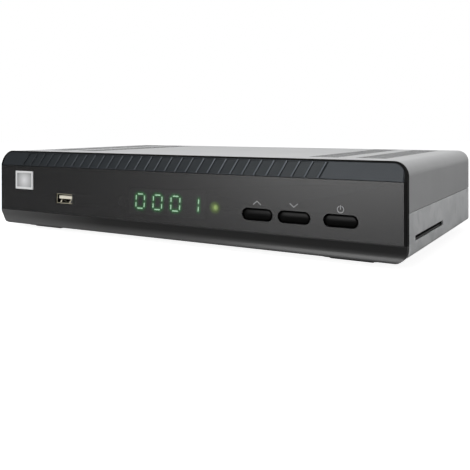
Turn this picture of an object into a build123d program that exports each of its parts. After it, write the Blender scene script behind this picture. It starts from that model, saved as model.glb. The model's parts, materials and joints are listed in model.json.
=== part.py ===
from build123d import *
import os

# Desktop satellite receiver.  Millimetres, +X to the right seen from the front, +Y to the rear,
# +Z up.  The origin is under the middle of the part, on the surface that it stands on.
# Heights named ..._UP are counted from the lower edge of the front, distances named ..._IN from
# its left or right edge.

# ------------------------------------------------------------------ driving sizes
# Case
CASE_WIDTH = 260.0
CASE_HEIGHT = 45.5
CASE_DEPTH = 140.0
CORNER_RADIUS = 6.6
SHEET = 0.8              # steel sheet of cover, tray and rear panel
SLIP = 0.3               # gap between nested sheets, and between sheet and moulding
COVER_INSET = 0.2        # cover drawn in from the outline of the front
SKIRT_UP = 22.5          # lower edge of the cover's skirts
TRAY_UP = 2.5            # underside of the tray
TRAY_LAP = 8.0           # height of the tray's joggled wall behind the skirt
BEND = 1.6               # outer radius of a folded edge
FLANGE = 9.0             # folded flanges of cover and rear panel
PANEL_CORNER = 0.3       # corner radius of a punched cut-out
FOLD_ROUND = 0.7         # outer radius of the cover's rear fold
CUT = 1.0                # reach of a cutting tool past the face that it opens

# Feet
FOOT_DROP = 2.7          # floor to the lower edge of the front
FOOT_WIDTH = 29.0
FOOT_LENGTH = 20.0
FOOT_CORNER = 2.5
FOOT_IN = 29.6           # centre from the side of the case
FOOT_BACK = 18.0         # centre from the front, and from the rear
FOOT_ROUND = 1.4
PAD_BORDER = 3.5         # foot round its rubber pad
PAD_DROP = 0.9           # rubber standing out of the foot
PAD_SUNK = 1.0           # rubber let into the foot
PEG_RADIUS = 1.5
PEG_BARB = 2.1
PEG_HEIGHT = 2.0

# Front moulding
BEZEL_DEPTH = 4.0
BEZEL_WALL = 2.6
EDGE_ROUND = 0.5
BORDER = 1.2             # frame beside strip and window panel
TOP_BORDER = 0.8         # frame over the strip
LEAN = 3.4               # set back of the strip's side of the front at the top edge
CHIN_UP = 8.1            # crease over the chin
CHIN_LAND = 0.4          # land between crease and window panel
LIP_UP = 5.2             # crease within the chin
CHIN_STEP = 1.1          # set back at that crease
CHIN_DEPTH = 1.4         # set back of the hollow under it, at its deepest
LIP_STEP = 0.9           # set back of the lip under the hollow
LIP_ROUND = 1.0
WEB = 1.5                # wall behind the window panel
TONGUE = 4.0             # rim that reaches into the cover
LUG_WIDTH = 12.0
LUG_HEIGHT = 4.0
LUG_REACH = 12.0
LUG_SPACING = 60.0

# Window panel and ribbed strip
LENS_THICKNESS = 2.0
STRIP_UP = 36.4          # seam between panel and strip
SEAM = 0.12
STRIP_THICKNESS = 0.8
RIB_PITCH = 6.85
RIB_SLANT = 3.65         # sideways run of a rib over the height of the strip
RIB_LAND = 0.9
RIB_DEPTH = 0.5
RIB_FACET = 0.2          # depth of a facet where it meets its rib
RIB_RIGHT_IN = 38.0      # top of the last rib from the right edge
RIB_LEFT_IN = 18.0       # no facet starts nearer to the left edge
STRIP_MARGIN = 0.3       # plain rail over and under the ribs

# Badge
BADGE_WIDTH = 15.2
BADGE_HEIGHT = 11.2
BADGE_THICKNESS = 0.8
BADGE_RIM = 1.3
BADGE_SUNK = 0.3
BADGE_LEFT_IN = 21.8
BADGE_UP = 27.6

# Buttons and switches
KEY_WIDTH = 16.6
KEY_HEIGHT = 5.6
KEY_UP = 17.4
KEY_GAP = 0.3            # gap between a button and its hole
KEY_SUNK = 0.2           # button face under the panel face
KEY_CROWN = 0.5
KEY_FLANGE = 1.0         # thickness of the flange behind the web
KEY_FLANGE_RIM = 1.3     # reach of the flange past the hole
LED_TO_UP = 25.8         # middle to middle, along the row
UP_TO_DOWN = 19.95
DOWN_TO_STANDBY = 23.6
TRAVEL = 0.5
SWITCH_SIZE = 6.0
SWITCH_BODY = 3.5
SWITCH_HEIGHT = 4.3      # board to plunger tip
PLUNGER_RADIUS = 1.6
PLUNGER_GAP = 0.25
PLUNGER_SEAT = 1.2       # length of plunger inside the switch
SYMBOL_THICKNESS = 0.06
SYMBOL_LINE = 0.4
CHEVRON_WIDTH = 4.3
CHEVRON_HEIGHT = 1.7
SYMBOL_UP = 23.2
POWER_RING = 1.75
POWER_BAR = 2.0

# Display
DIGIT_PITCH = 11.95
DIGIT_HEIGHT = 8.6
DIGIT_WIDTH = 6.5
DIGIT_SLANT = 0.06       # sideways run over height
DIGIT_LINE = 0.7
DIGIT_CLEFT = 0.6        # from a corner of the digit to an upright bar
DIGIT_SHORT = 0.9        # likewise, to a bar across
DIGIT_UP = 19.5
DISPLAY_SHIFT = -1.0     # middle of the display from the middle of the case
DISPLAY_HEIGHT = 13.5
DISPLAY_MARGIN = 1.2
DISPLAY_GAP = 0.3        # display face to window panel
SEGMENT_THICKNESS = 0.15
LED_RADIUS = 1.4
LED_DOME = 1.2
LED_COLLAR = 1.0
LED_SHIFT = 31.2
LED_UP = 19.0
EYE_RADIUS = 2.6         # lens of the remote-control receiver
EYE_DOME = 1.5
EYE_SHIFT = -31.0

# Boards
BOARD = 1.6
FRONT_BOARD_UP = 8.3
FRONT_BOARD_HEIGHT = 28.0
FRONT_BOARD_SIDE = 12.0  # board past the middle of the power button
FRONT_BOARD_GAP = 2.0    # board beside the tab under the USB socket
POST_RADIUS = 2.8
POST_IN = 4.0            # post from the edges of the front board
POST_PAST_LED = 7.0
STANDOFF = 10.0
STANDOFF_FLATS = 5.5
MAIN_GAP = 2.5           # main board behind the front board
MAIN_SIDE_IN = 10.0
MAIN_REAR = 1.0          # main board to rear panel
USB_TAB_WIDTH = 24.0

# Fasteners
SCREW_RADIUS = 1.5
SCREW_HEAD_RADIUS = 2.8
SCREW_HEAD = 1.7
SCREW_GAP = 0.15
SCREW_TIP = 1.0          # hole left under the end of a screw
SCREW_PAST = 1.0         # screw past the last sheet that it clamps
CROSS_WIDTH = 0.7
CROSS_LENGTH = 3.0
CROSS_DEPTH = 1.0
COVER_SCREW_SPACING = 108.0
PANEL_SCREW_SPACING = 72.0
CORNER_SCREW_IN = 14.0

# Sockets
USB_WIDTH = 13.1
USB_HEIGHT = 5.7
USB_DEPTH = 13.8
USB_LIP = 0.2            # flared mouth
USB_LEFT_IN = 54.9
USB_SUNK = 1.0
SHELL = 0.3              # plated sheet of small sockets
TONGUE_WIDTH = 11.1
TONGUE_HEIGHT = 1.84
TONGUE_TOP_GAP = 0.9
TONGUE_SUNK = 1.0        # tip of the tongue behind the mouth
USB_BLOCK = 3.0          # solid rear of the insert
USB_PITCH = 2.3
USB_STRIP = 1.0
STRIP_PROUD = 0.15
F_RADIUS = 4.76
F_NECK = 4.4
F_REACH = 10.0           # past the rear of the case
F_SPACING = 22.0
F_UP = 23.3
F_CHAMFER = 0.5
F_FLATS = 11.0
F_NUT = 2.4
F_NUT_FLATS = 12.7
F_CORE = 3.2
F_PIN_HOLE = 0.6
F_PIN_FLOOR = 2.0        # core left behind the contact hole
TUNER_WIDTH = 46.0
TUNER_DEPTH = 34.0
TUNER_HEIGHT = 15.0
TUNER_RIGHT_IN = 36.0
NOSE = 0.5               # rear sockets past the rear panel
NOSE_GAP = 0.2
ETHERNET_WIDTH = 16.0
ETHERNET_HEIGHT = 13.5
ETHERNET_DEPTH = 16.0
PORT_WIDTH = 11.8
PORT_HEIGHT = 6.8
PORT_DEPTH = 12.5
LATCH_WIDTH = 5.9
LATCH_STEP = 1.6
LATCH_TIP_WIDTH = 3.0
LATCH_DROP = 2.8
PORT_WAYS = 8
PORT_PITCH = 1.02
PORT_WIRE = 0.45
PORT_WIRE_SUNK = 2.0
VIDEO_WIDTH = 15.2
VIDEO_HEIGHT = 5.9
VIDEO_DEPTH = 11.0
VIDEO_BLOCK = 2.5
VIDEO_TONGUE_WIDTH = 11.2
VIDEO_TONGUE_HEIGHT = 1.2
VIDEO_TONGUE_RISE = 0.7
VIDEO_TONGUE_SUNK = 1.0
SCART_WIDTH = 47.0
SCART_HEIGHT = 14.0
SCART_DEPTH = 14.0
SCART_REACH = 2.0
SCART_SEAT = 1.0         # under the collar
SCART_PITCH = 3.8
SCART_ROW = 3.0          # rows of slots over and under the middle
SCART_SLOT_WIDTH = 1.1
SCART_SLOT_HEIGHT = 3.6
SCART_WALL = 0.6
AV_RADIUS = 4.15
AV_BORE = 3.3
AV_REACH = 8.0
AV_BLOCK = 11.0
AV_CORE_SUNK = 1.0
JACK_RADIUS = 1.8
JACK_NOSE = 3.2
JACK_BLOCK = 8.0
JACK_DEPTH = 13.0
DC_WIDTH = 9.0
DC_HEIGHT = 11.0
DC_DEPTH = 14.0
DC_BORE = 3.15
DC_PIN = 1.0
DC_HOLE_DEPTH = 9.5
DC_PIN_SUNK = 1.0
SOCKET_GAP = 8.0         # between neighbours on the rear panel

# Smart card reader
CARD_WIDTH = 53.98
CARD_SLOT = 1.2
CARD_PLAY = 0.5
READER_HEIGHT = 5.0
READER_FLOOR = 1.0
READER_WALL = 2.0
READER_LENGTH = 52.0
CARD_MOUTH = 2.6
CONTACT_PITCH = 2.54
CONTACT_ROWS = 7.62
CONTACT_WIDTH = 1.2
CONTACT_LENGTH = 2.0
CONTACT_HEIGHT = 0.3

# Things on the main board
CHIP_SIZE = 24.0
CHIP_HEIGHT = 2.0
SINK_SIZE = 34.0
SINK_HEIGHT = 9.0
SINK_BASE = 2.0
FIN = 1.2
FIN_COUNT = 8
MEMORY_WIDTH = 9.0
MEMORY_LENGTH = 13.0
MEMORY_HEIGHT = 1.2
MEMORY_GAP = 9.0         # memory from the heat sink, and memories from each other
CAN_RADIUS = 4.0
CAN_HEIGHT = 12.0
CAN_GAP = 1.6
CAN_ROUND = 0.7
COIL_ROUND = 2.0
COIL_SIZE = 10.0
COIL_HEIGHT = 5.0
RIBBON = 0.25
RIBBON_WIDTH = 16.0
RIBBON_REACH = 12.0
RIBBON_SOCKET = 3.0
RIBBON_EAR = 1.5         # socket past the edge of the ribbon
RIBBON_UP = 17.0         # ribbon over the lower edge of the front board
RIBBON_SHIFT = -20.0     # middle of the ribbon from the middle of the case

# Vents
VENT_WIDTH = 16.0
VENT_SLOT = 2.6
VENT_PITCH = 4.0
VENT_OUTER_IN = 24.5
VENT_INNER_IN = 49.5
VENT_START = 25.0
VENT_END_IN = 6.0
TRAY_VENT_INNER = 36.0   # middles of the floor's slots from the middle of the case
TRAY_VENT_OUTER = 56.0
TRAY_VENT_IN = 45.0      # first and last slots from the front and the rear
REAR_VENT_COUNT = 6
REAR_VENT_HEIGHT = 18.0
REAR_VENT_IN = 12.0      # first slot of the rear panel from the left side

# ------------------------------------------------------------------ places worked out
overall_depth = BADGE_THICKNESS + CASE_DEPTH + F_REACH
front = BADGE_THICKNESS - overall_depth / 2
rear = front + CASE_DEPTH
left, right = -CASE_WIDTH / 2, CASE_WIDTH / 2
bottom, top = FOOT_DROP, FOOT_DROP + CASE_HEIGHT
middle_z = (bottom + top) / 2

web_front = front + LENS_THICKNESS
web_back = web_front + WEB
flange_back = web_back + KEY_FLANGE
board_face = flange_back + SWITCH_HEIGHT
board_back = board_face + BOARD
bezel_back = front + BEZEL_DEPTH

skirt = bottom + SKIRT_UP
tray_low = bottom + TRAY_UP
floor_top = tray_low + SHEET
tray_out = right - COVER_INSET
tray_side = tray_out - SHEET - SLIP
tray_jog = skirt - SLIP
tray_top = skirt + TRAY_LAP
cover_top = top - COVER_INSET
panel_out = rear - SHEET
panel_in = panel_out - SHEET

chin = bottom + CHIN_UP
lens_low = chin + CHIN_LAND
strip_low = bottom + STRIP_UP
strip_top = top - TOP_BORDER

key_z = bottom + KEY_UP
led_x = DISPLAY_SHIFT + LED_SHIFT
up_x = led_x + LED_TO_UP
down_x = up_x + UP_TO_DOWN
key_x = {"up": up_x, "down": down_x, "power": down_x + DOWN_TO_STANDBY}
symbol_z = bottom + SYMBOL_UP
digit_z = bottom + DIGIT_UP
led_z = bottom + LED_UP
eye_x = DISPLAY_SHIFT + EYE_SHIFT
badge_x = left + BADGE_LEFT_IN
badge_z = bottom + BADGE_UP
display_front = web_front + DISPLAY_GAP
display_width = 4 * DIGIT_PITCH + 2 * DISPLAY_MARGIN

board_low = floor_top + STANDOFF
board_top = board_low + BOARD
main_front = board_back + MAIN_GAP
main_rear = panel_in - MAIN_REAR
main_left = left + MAIN_SIDE_IN
main_right = right - MAIN_SIDE_IN
front_board_low = bottom + FRONT_BOARD_UP
front_board_top = front_board_low + FRONT_BOARD_HEIGHT
front_board_left = left + USB_LEFT_IN + USB_TAB_WIDTH / 2 + FRONT_BOARD_GAP
front_board_right = key_x["power"] + FRONT_BOARD_SIDE

usb_x = left + USB_LEFT_IN
usb_z = board_top + USB_HEIGHT / 2
usb_front = front + USB_SUNK
card_y0 = main_front + READER_WALL
card_y1 = card_y0 + CARD_WIDTH + 2 * CARD_PLAY
reader_low = board_low - READER_HEIGHT
card_low = reader_low + READER_FLOOR
card_z = card_low + CARD_SLOT / 2
reader_right = tray_out - SHEET - SLIP

tuner_x = right - TUNER_RIGHT_IN
lnb_x = (tuner_x - F_SPACING / 2, tuner_x + F_SPACING / 2)
lnb_z = bottom + F_UP
can_back = panel_in - MAIN_REAR
chip_x = DISPLAY_SHIFT
chip_y = (main_front + main_rear) / 2
supply_x = main_left + CORNER_SCREW_IN + STANDOFF_FLATS + CAN_RADIUS
ribbon_x = RIBBON_SHIFT
ethernet_x = tuner_x - TUNER_WIDTH / 2 - SOCKET_GAP - ETHERNET_WIDTH / 2
video_x = ethernet_x - ETHERNET_WIDTH / 2 - SOCKET_GAP - VIDEO_WIDTH / 2
scart_x = video_x - VIDEO_WIDTH / 2 - SOCKET_GAP - SCART_WIDTH / 2
av_x = scart_x - SCART_WIDTH / 2 - SOCKET_GAP - AV_BLOCK / 2
jack_x = av_x - AV_BLOCK / 2 - SOCKET_GAP - JACK_BLOCK / 2
dc_x = jack_x - JACK_BLOCK / 2 - SOCKET_GAP - DC_WIDTH / 2
nose_back = panel_out + NOSE
scart_z = board_top + SCART_SEAT + SCART_HEIGHT / 2
av_z = board_top + AV_BLOCK / 2
jack_z = board_top + JACK_BLOCK / 2
dc_z = board_top + DC_HEIGHT / 2
port_z = board_top + ETHERNET_HEIGHT / 2


# ------------------------------------------------------------------ shape helpers
def block(x0, x1, y0, y1, z0, z1):
    """Box between two corners."""
    return Pos((x0 + x1) / 2, (y0 + y1) / 2, (z0 + z1) / 2) * Box(x1 - x0, y1 - y0, z1 - z0)


def along_y(outline, y0, y1):
    """Outline drawn in X and Z, carried from y0 back to y1."""
    return extrude(Plane.XZ.offset(-y0) * outline, amount=y1 - y0, dir=(0, 1, 0))


def along_x(outline, x0, x1):
    """Outline drawn in Y and Z, carried from x0 to x1."""
    return extrude(Plane.YZ.offset(x0) * outline, amount=x1 - x0, dir=(1, 0, 0))


def along_z(outline, z0, z1):
    """Outline drawn in X and Y, carried from z0 up to z1."""
    return extrude(Plane.XY.offset(z0) * outline, amount=z1 - z0, dir=(0, 0, 1))


def area(x0, x1, z0, z1):
    """Rectangle between two corners of a drawing plane."""
    return Pos((x0 + x1) / 2, (z0 + z1) / 2) * Rectangle(x1 - x0, z1 - z0)


def pin_y(x, z, radius, y0, y1):
    """Round bar along Y."""
    return along_y(Pos(x, z) * Circle(radius), y0, y1)


def hexagon(flats):
    """Hexagon measured across its flats."""
    return RegularPolygon(flats / 2, 6, major_radius=False)


def group(pieces):
    """Separate solids kept in one node."""
    return Compound([solid for piece in pieces for solid in piece.solids()])


def row_of(count, pitch, middle=0):
    """Evenly spaced places about a middle."""
    return [middle + (i - (count - 1) / 2) * pitch for i in range(count)]


def case_outline(inset):
    """Front view of the case, drawn in by an inset, with concentric corners."""
    corner = max(CORNER_RADIUS - inset, 0.5)
    shape = RectangleRounded(CASE_WIDTH - 2 * inset, CASE_HEIGHT - 2 * inset, corner)
    return Pos(0, middle_z) * shape


def case_ring(inset, wall):
    """Wall that follows the front view of the case."""
    return case_outline(inset) - case_outline(inset + wall)


def key_outline(gap):
    """Obround of a button, grown by a gap, centred on the origin."""
    return SlotOverall(KEY_WIDTH + 2 * gap, KEY_HEIGHT + 2 * gap)


def screw(length):
    """Pan-head screw that points down, its head standing on Z = 0."""
    head = along_z(Circle(SCREW_HEAD_RADIUS), 0, SCREW_HEAD)
    head = fillet(head.edges().sort_by(Axis.Z)[-1], SCREW_HEAD / 2)
    cross = Rectangle(CROSS_LENGTH, CROSS_WIDTH) + Rectangle(CROSS_WIDTH, CROSS_LENGTH)
    head -= along_z(cross, SCREW_HEAD - CROSS_DEPTH, SCREW_HEAD)
    return head + along_z(Circle(SCREW_RADIUS), -length, 0)


# ------------------------------------------------------------------ places of fasteners
foot_places = [
    (side * (right - FOOT_IN), y)
    for side in (-1, 1)
    for y in (front + FOOT_BACK, rear - FOOT_BACK)
]
lug_places = [(x, bezel_back + LUG_REACH / 2) for x in (-LUG_SPACING, 0, LUG_SPACING)]
post_places = [
    (front_board_left + POST_IN, front_board_low + POST_IN),
    (front_board_left + POST_IN, front_board_top - POST_IN),
    (led_x + POST_PAST_LED, front_board_low + POST_IN),
    (front_board_right - POST_IN, front_board_top - POST_IN),
]
standoff_places = [
    (main_left + CORNER_SCREW_IN, main_front + CORNER_SCREW_IN),
    (main_left + CORNER_SCREW_IN, main_rear - 2 * CORNER_SCREW_IN),
    (0, main_front + CORNER_SCREW_IN),
    (main_right - CORNER_SCREW_IN, main_rear - READER_LENGTH),
    (0, main_rear - 2 * CORNER_SCREW_IN),
]
cover_screw_places = [(x, cover_top - FLANGE / 2) for x in (-COVER_SCREW_SPACING, 0, COVER_SCREW_SPACING)]
panel_screw_places = [(x, panel_in - FLANGE / 2) for x in (-PANEL_SCREW_SPACING, 0, PANEL_SCREW_SPACING)]


# ------------------------------------------------------------------ case
def top_cover():
    """Sheet cover: rounded shoulders, side skirts, rear flange and four fields of vent slots."""
    ring = case_ring(COVER_INSET, SHEET) & area(left, right, skirt, top)
    body = along_y(ring, bezel_back, rear)
    flange_x = right - CORNER_RADIUS - BEND
    flange = block(-flange_x, flange_x, panel_out, rear, cover_top - FLANGE, cover_top)
    body += flange
    body = fillet(body.edges().filter_by(Axis.X).group_by(Axis.Z)[-1].sort_by(Axis.Y)[-1], FOLD_ROUND)
    rows = int((rear - VENT_END_IN - front - VENT_START) / VENT_PITCH)
    first = front + VENT_START + VENT_SLOT / 2
    slot = SlotOverall(VENT_WIDTH, VENT_SLOT)
    columns = [side * (right - inset) for side in (-1, 1) for inset in (VENT_OUTER_IN, VENT_INNER_IN)]
    field = Sketch() + [Pos(x, first + row * VENT_PITCH) * slot for x in columns for row in range(rows)]
    body -= along_z(field, cover_top - SHEET - SLIP, top)
    for x, z in cover_screw_places:
        body -= pin_y(x, z, SCREW_RADIUS + SCREW_GAP, panel_out, rear)
    return body


def base_tray():
    """Folded tray: floor with vents, walls in line with the skirts that step in behind them."""
    outer = area(-tray_out, tray_out, tray_low, tray_jog)
    outer = fillet(outer.vertices().group_by(Axis.Y)[0], BEND)
    outer += area(-tray_side, tray_side, tray_low + BEND, tray_top)
    inner = area(-tray_out + SHEET, tray_out - SHEET, floor_top, tray_jog - SHEET)
    inner = fillet(inner.vertices().group_by(Axis.Y)[0], BEND - SHEET)
    inner += area(-tray_side + SHEET, tray_side - SHEET, floor_top + BEND, tray_top + SHEET)
    body = along_y(outer - inner, bezel_back, panel_out)
    mouth = area(card_y0, card_y1, card_z - CARD_MOUTH / 2, card_z + CARD_MOUTH / 2)
    body -= along_x(mouth, tray_out - SHEET, tray_out)
    for x, y in lug_places + panel_screw_places:
        body -= along_z(Pos(x, y) * Circle(SCREW_RADIUS + SCREW_GAP), tray_low, floor_top)
    for x, y in foot_places:
        body -= along_z(Pos(x, y) * Circle(PEG_RADIUS + SCREW_GAP), tray_low, floor_top)
    slot = SlotOverall(VENT_WIDTH, VENT_SLOT)
    columns = [side * x for side in (-1, 1) for x in (TRAY_VENT_INNER, TRAY_VENT_OUTER)]
    rows = int((rear - front - 2 * TRAY_VENT_IN) / VENT_PITCH)
    first = front + TRAY_VENT_IN
    field = Sketch() + [Pos(x, first + row * VENT_PITCH) * slot for x in columns for row in range(rows)]
    return body - along_z(field, tray_low, floor_top)


def rear_panel():
    """Punched rear plate between the tray walls, with a foot flange on the tray floor."""
    low_side = tray_out - SHEET - SLIP
    lap_side = tray_side - SHEET - SLIP
    plate = case_outline(COVER_INSET + SHEET + SLIP) & area(left, right, tray_top + SLIP, top)
    lower = area(-low_side, low_side, floor_top, tray_jog - SHEET - SLIP)
    plate += fillet(lower.vertices().group_by(Axis.Y)[0], BEND)
    plate += area(-lap_side, lap_side, floor_top + BEND, tray_top + SLIP)
    cuts = [area(x - width / 2 - NOSE_GAP, x + width / 2 + NOSE_GAP, low - NOSE_GAP, high + NOSE_GAP)
            for x, width, low, high in panel_cutouts()]
    cuts = [fillet(cut.vertices(), PANEL_CORNER) for cut in cuts]
    cuts += [Pos(scart_x, scart_z) * scart_outline(-NOSE_GAP)]
    cuts += [Pos(x, lnb_z) * Circle(F_NECK + SCREW_GAP) for x in lnb_x]
    cuts += [Pos(av_x, av_z) * Circle(AV_BLOCK / 2 - NOSE_GAP)]
    cuts += [Pos(jack_x, jack_z) * Circle(JACK_NOSE + NOSE_GAP)]
    cuts += [Pos(x, z) * Circle(SCREW_RADIUS + SCREW_GAP) for x, z in cover_screw_places]
    vent = Rot(0, 0, 90) * SlotOverall(REAR_VENT_HEIGHT, VENT_SLOT)
    first = left + REAR_VENT_IN
    cuts += [Pos(first + i * VENT_PITCH, middle_z - SLIP) * vent for i in range(REAR_VENT_COUNT)]
    body = along_y(plate - (Sketch() + cuts), panel_in, panel_out)
    flange_x = low_side - BEND
    body += block(-flange_x, flange_x, panel_in - FLANGE, panel_out, floor_top, floor_top + SHEET)
    for x, y in panel_screw_places:
        body -= along_z(Pos(x, y) * Circle(SCREW_RADIUS + SCREW_GAP), floor_top, floor_top + SHEET)
    return body


def panel_cutouts():
    """Rectangular sockets at the rear: middle, width, lower and upper edge."""
    return [
        (ethernet_x, ETHERNET_WIDTH, board_top, board_top + ETHERNET_HEIGHT),
        (video_x, VIDEO_WIDTH, board_top, board_top + VIDEO_HEIGHT),
        (dc_x, DC_WIDTH, board_top, board_top + DC_HEIGHT),
    ]


def cover_screws():
    """Screws that hold the cover's flange to the rear panel."""
    turn = Rot(-90, 0, 0)
    return group([Pos(x, rear, z) * turn * screw(FLANGE / 2) for x, z in cover_screw_places])


def tray_screws():
    """Screws up through the tray into the lugs of the front and the flange of the rear panel."""
    turn = Rot(180, 0, 0)
    lugs = [Pos(x, y, tray_low) * turn * screw(SHEET + LUG_HEIGHT - SCREW_TIP) for x, y in lug_places]
    flanges = [Pos(x, y, tray_low) * turn * screw(2 * SHEET + SCREW_PAST) for x, y in panel_screw_places]
    return group(lugs + flanges)


def foot_outline(inset):
    """Foot seen from below, drawn in by an inset, centred on the origin."""
    return RectangleRounded(FOOT_WIDTH - 2 * inset, FOOT_LENGTH - 2 * inset, max(FOOT_CORNER - inset, 0.5))


def feet():
    """Moulded feet under the tray, each held by a barbed peg through the floor."""
    pieces = []
    for x, y in foot_places:
        foot = along_z(Pos(x, y) * foot_outline(0), PAD_DROP, tray_low)
        foot = fillet(foot.edges().group_by(Axis.Z)[0], FOOT_ROUND)
        seat = Pos(x, y) * foot_outline(PAD_BORDER - SCREW_GAP)
        foot -= along_z(seat, PAD_DROP, PAD_DROP + PAD_SUNK)
        foot += along_z(Pos(x, y) * Circle(PEG_RADIUS), tray_low, floor_top)
        barb = Cone(PEG_BARB, PEG_RADIUS, PEG_HEIGHT)
        pieces.append(foot + Pos(x, y, floor_top + PEG_HEIGHT / 2) * barb)
    return group(pieces)


def foot_pads():
    """Rubber pads let into the feet."""
    pieces = []
    for x, y in foot_places:
        pad = along_z(Pos(x, y) * foot_outline(PAD_BORDER), 0, PAD_DROP + PAD_SUNK)
        pieces.append(fillet(pad.edges().group_by(Axis.Z)[0], PAD_DROP / 2))
    return group(pieces)


# ------------------------------------------------------------------ front moulding
def lean(z):
    """Set back of the front at a height: none up to the strip, then rising evenly to the top edge."""
    return LEAN * max(z - strip_low, 0) / (top - strip_low)


def leaning(low, high, y0, y1):
    """Plate that leans with the strip between two heights, y0 to y1 behind its face."""
    corners = [(front + lean(z) + y, z) for z, y in ((low, y0), (high, y0), (high, y1), (low, y1))]
    return along_x(Polygon(*corners, align=None), left, right)


def face_outline(gap):
    """Outline of strip and window panel together, drawn in by a gap, with its lower edge square."""
    half, high, low = right - BORDER - gap, strip_top - gap, lens_low + gap
    outline = area(-half, half, low, high)
    return fillet(outline.vertices().group_by(Axis.Y)[-1], CORNER_RADIUS - BORDER - gap)


def button_places():
    """Middles of the three buttons."""
    return [(x, key_z) for x in key_x.values()]


def usb_opening(gap):
    """Front opening of the USB socket, grown by a gap."""
    width = USB_WIDTH + 2 * USB_LIP + 2 * gap
    opening = Rectangle(width, USB_HEIGHT + 2 * USB_LIP + 2 * gap)
    return Pos(usb_x, usb_z) * fillet(opening.vertices(), PANEL_CORNER)


def display_outline(gap):
    """Front view of the display housing, grown by a gap."""
    shape = Rectangle(display_width + 2 * gap, DISPLAY_HEIGHT + 2 * gap)
    return Pos(DISPLAY_SHIFT, digit_z) * shape


def front_face(body):
    """Cut the face of the moulding: the leaning band at the top, and the hollow chin with its lip."""
    wedge = Polygon((front - CUT, strip_low), (front, strip_low), (front + LEAN, top), (front + LEAN, top + CUT),
                    (front - CUT, top + CUT), align=None)
    crease = (front + CHIN_STEP, bottom + LIP_UP)
    hollow = (front + CHIN_DEPTH, bottom + (LIP_UP + LIP_ROUND) / 2)
    lip = (front + LIP_STEP, bottom + LIP_ROUND)
    under = (front + LIP_STEP + LIP_ROUND, bottom)
    edge = Polyline((front - CUT, chin), (front, chin), crease)
    edge += [ThreePointArc(crease, hollow, lip), RadiusArc(lip, under, -LIP_ROUND)]
    edge += Polyline(under, (under[0], bottom - CUT), (front - CUT, bottom - CUT), (front - CUT, chin))
    return body - along_x(wedge, left, right) - along_x(make_face(edge.edges()), left, right)


def front_bezel():
    """Moulded surround: chin, web with its windows, rim for the cover, posts and floor lugs."""
    body = along_y(case_outline(0), front, bezel_back)
    body = fillet(body.edges().group_by(Axis.Y)[0], EDGE_ROUND)
    body = front_face(body)
    body -= along_y(case_outline(BEZEL_WALL), web_back, bezel_back)
    rim_inset = COVER_INSET + SHEET + SLIP
    inside = along_y(case_outline(rim_inset), web_front, bezel_back + TONGUE)
    inside += along_y(case_outline(0), front, bezel_back)
    body += leaning(strip_low, top, STRIP_THICKNESS, STRIP_THICKNESS + WEB) & inside
    panel = along_y(face_outline(0) & area(left, right, lens_low, strip_low), front - CUT, web_front)
    band = along_y(face_outline(0), front - CUT, bezel_back + LEAN)
    body -= panel
    body -= leaning(strip_low, top, -CUT, STRIP_THICKNESS) & band
    rim = case_ring(rim_inset, BEZEL_WALL - rim_inset) & area(left, right, tray_top + SLIP, top)
    body += along_y(rim, bezel_back, bezel_back + TONGUE)
    for x, y in lug_places:
        half = LUG_WIDTH / 2
        lug = block(x - half, x + half, web_front, bezel_back + LUG_REACH, floor_top, floor_top + LUG_HEIGHT)
        bore = Pos(x, y) * Circle(SCREW_RADIUS + SCREW_GAP / 2)
        body += lug - along_z(bore, floor_top, floor_top + LUG_HEIGHT)
    for x, z in post_places:
        body += pin_y(x, z, POST_RADIUS, web_back, board_face)
        body -= pin_y(x, z, SCREW_RADIUS + SCREW_GAP / 2, web_back, board_face)
    windows = [display_outline(SLIP), usb_opening(SLIP)]
    windows += [Pos(x, z) * key_outline(KEY_GAP) for x, z in button_places()]
    windows += [Pos(led_x, led_z) * Circle(LED_RADIUS + SLIP), Pos(eye_x, led_z) * Circle(EYE_RADIUS + SLIP)]
    return body - along_y(Sketch() + windows, web_front, web_back)


def front_lens():
    """Smoked window panel with the openings for the USB socket and the buttons."""
    outline = face_outline(SEAM / 2) & area(left, right, lens_low, strip_low - SEAM / 2)
    holes = [usb_opening(0)] + [Pos(x, z) * key_outline(KEY_GAP) for x, z in button_places()]
    return along_y(outline - (Sketch() + holes), front, web_front)


def trim_strip():
    """Leaning band over the window panel: slanted facets that rise to the right and end in narrow ribs."""
    start_z = strip_low + SEAM / 2
    low, high = start_z + STRIP_MARGIN, strip_top - SEAM / 2 - STRIP_MARGIN
    body = leaning(start_z, strip_top, 0, STRIP_THICKNESS)
    body = body & along_y(face_outline(SEAM / 2), front, bezel_back + LEAN)
    face = front + lean(low)
    last = right - RIB_RIGHT_IN - RIB_SLANT
    count = int((last - left - RIB_LEFT_IN) / RIB_PITCH)
    first = last - count * RIB_PITCH
    points = [(first, face - CUT)]
    for rib in range(count):
        start = first + rib * RIB_PITCH
        end = start + RIB_PITCH - RIB_LAND
        points += [(start, face + RIB_DEPTH), (end, face + RIB_FACET)]
        points += [(end, face), (end + RIB_LAND, face)]
    points += [(last, face + RIB_DEPTH), (last + RIB_LAND, face), (last + RIB_LAND, face - CUT)]
    cutter = Plane.XY.offset(low) * Polygon(*points, align=None)
    slant = Vector(RIB_SLANT, lean(high) - lean(low), high - low)
    return body - extrude(cutter, amount=slant.length, dir=slant.normalized())


def badge_plate():
    """Small plate with a raised rim on the window panel."""
    outline = Pos(badge_x, badge_z) * Rectangle(BADGE_WIDTH, BADGE_HEIGHT)
    body = along_y(outline, front - BADGE_THICKNESS, front)
    inner = Pos(badge_x, badge_z) * Rectangle(BADGE_WIDTH - 2 * BADGE_RIM, BADGE_HEIGHT - 2 * BADGE_RIM)
    body -= along_y(inner, front - BADGE_THICKNESS, front - BADGE_THICKNESS + BADGE_SUNK)
    return chamfer(body.edges().group_by(Axis.Y)[0], BADGE_SUNK / 2)


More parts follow.
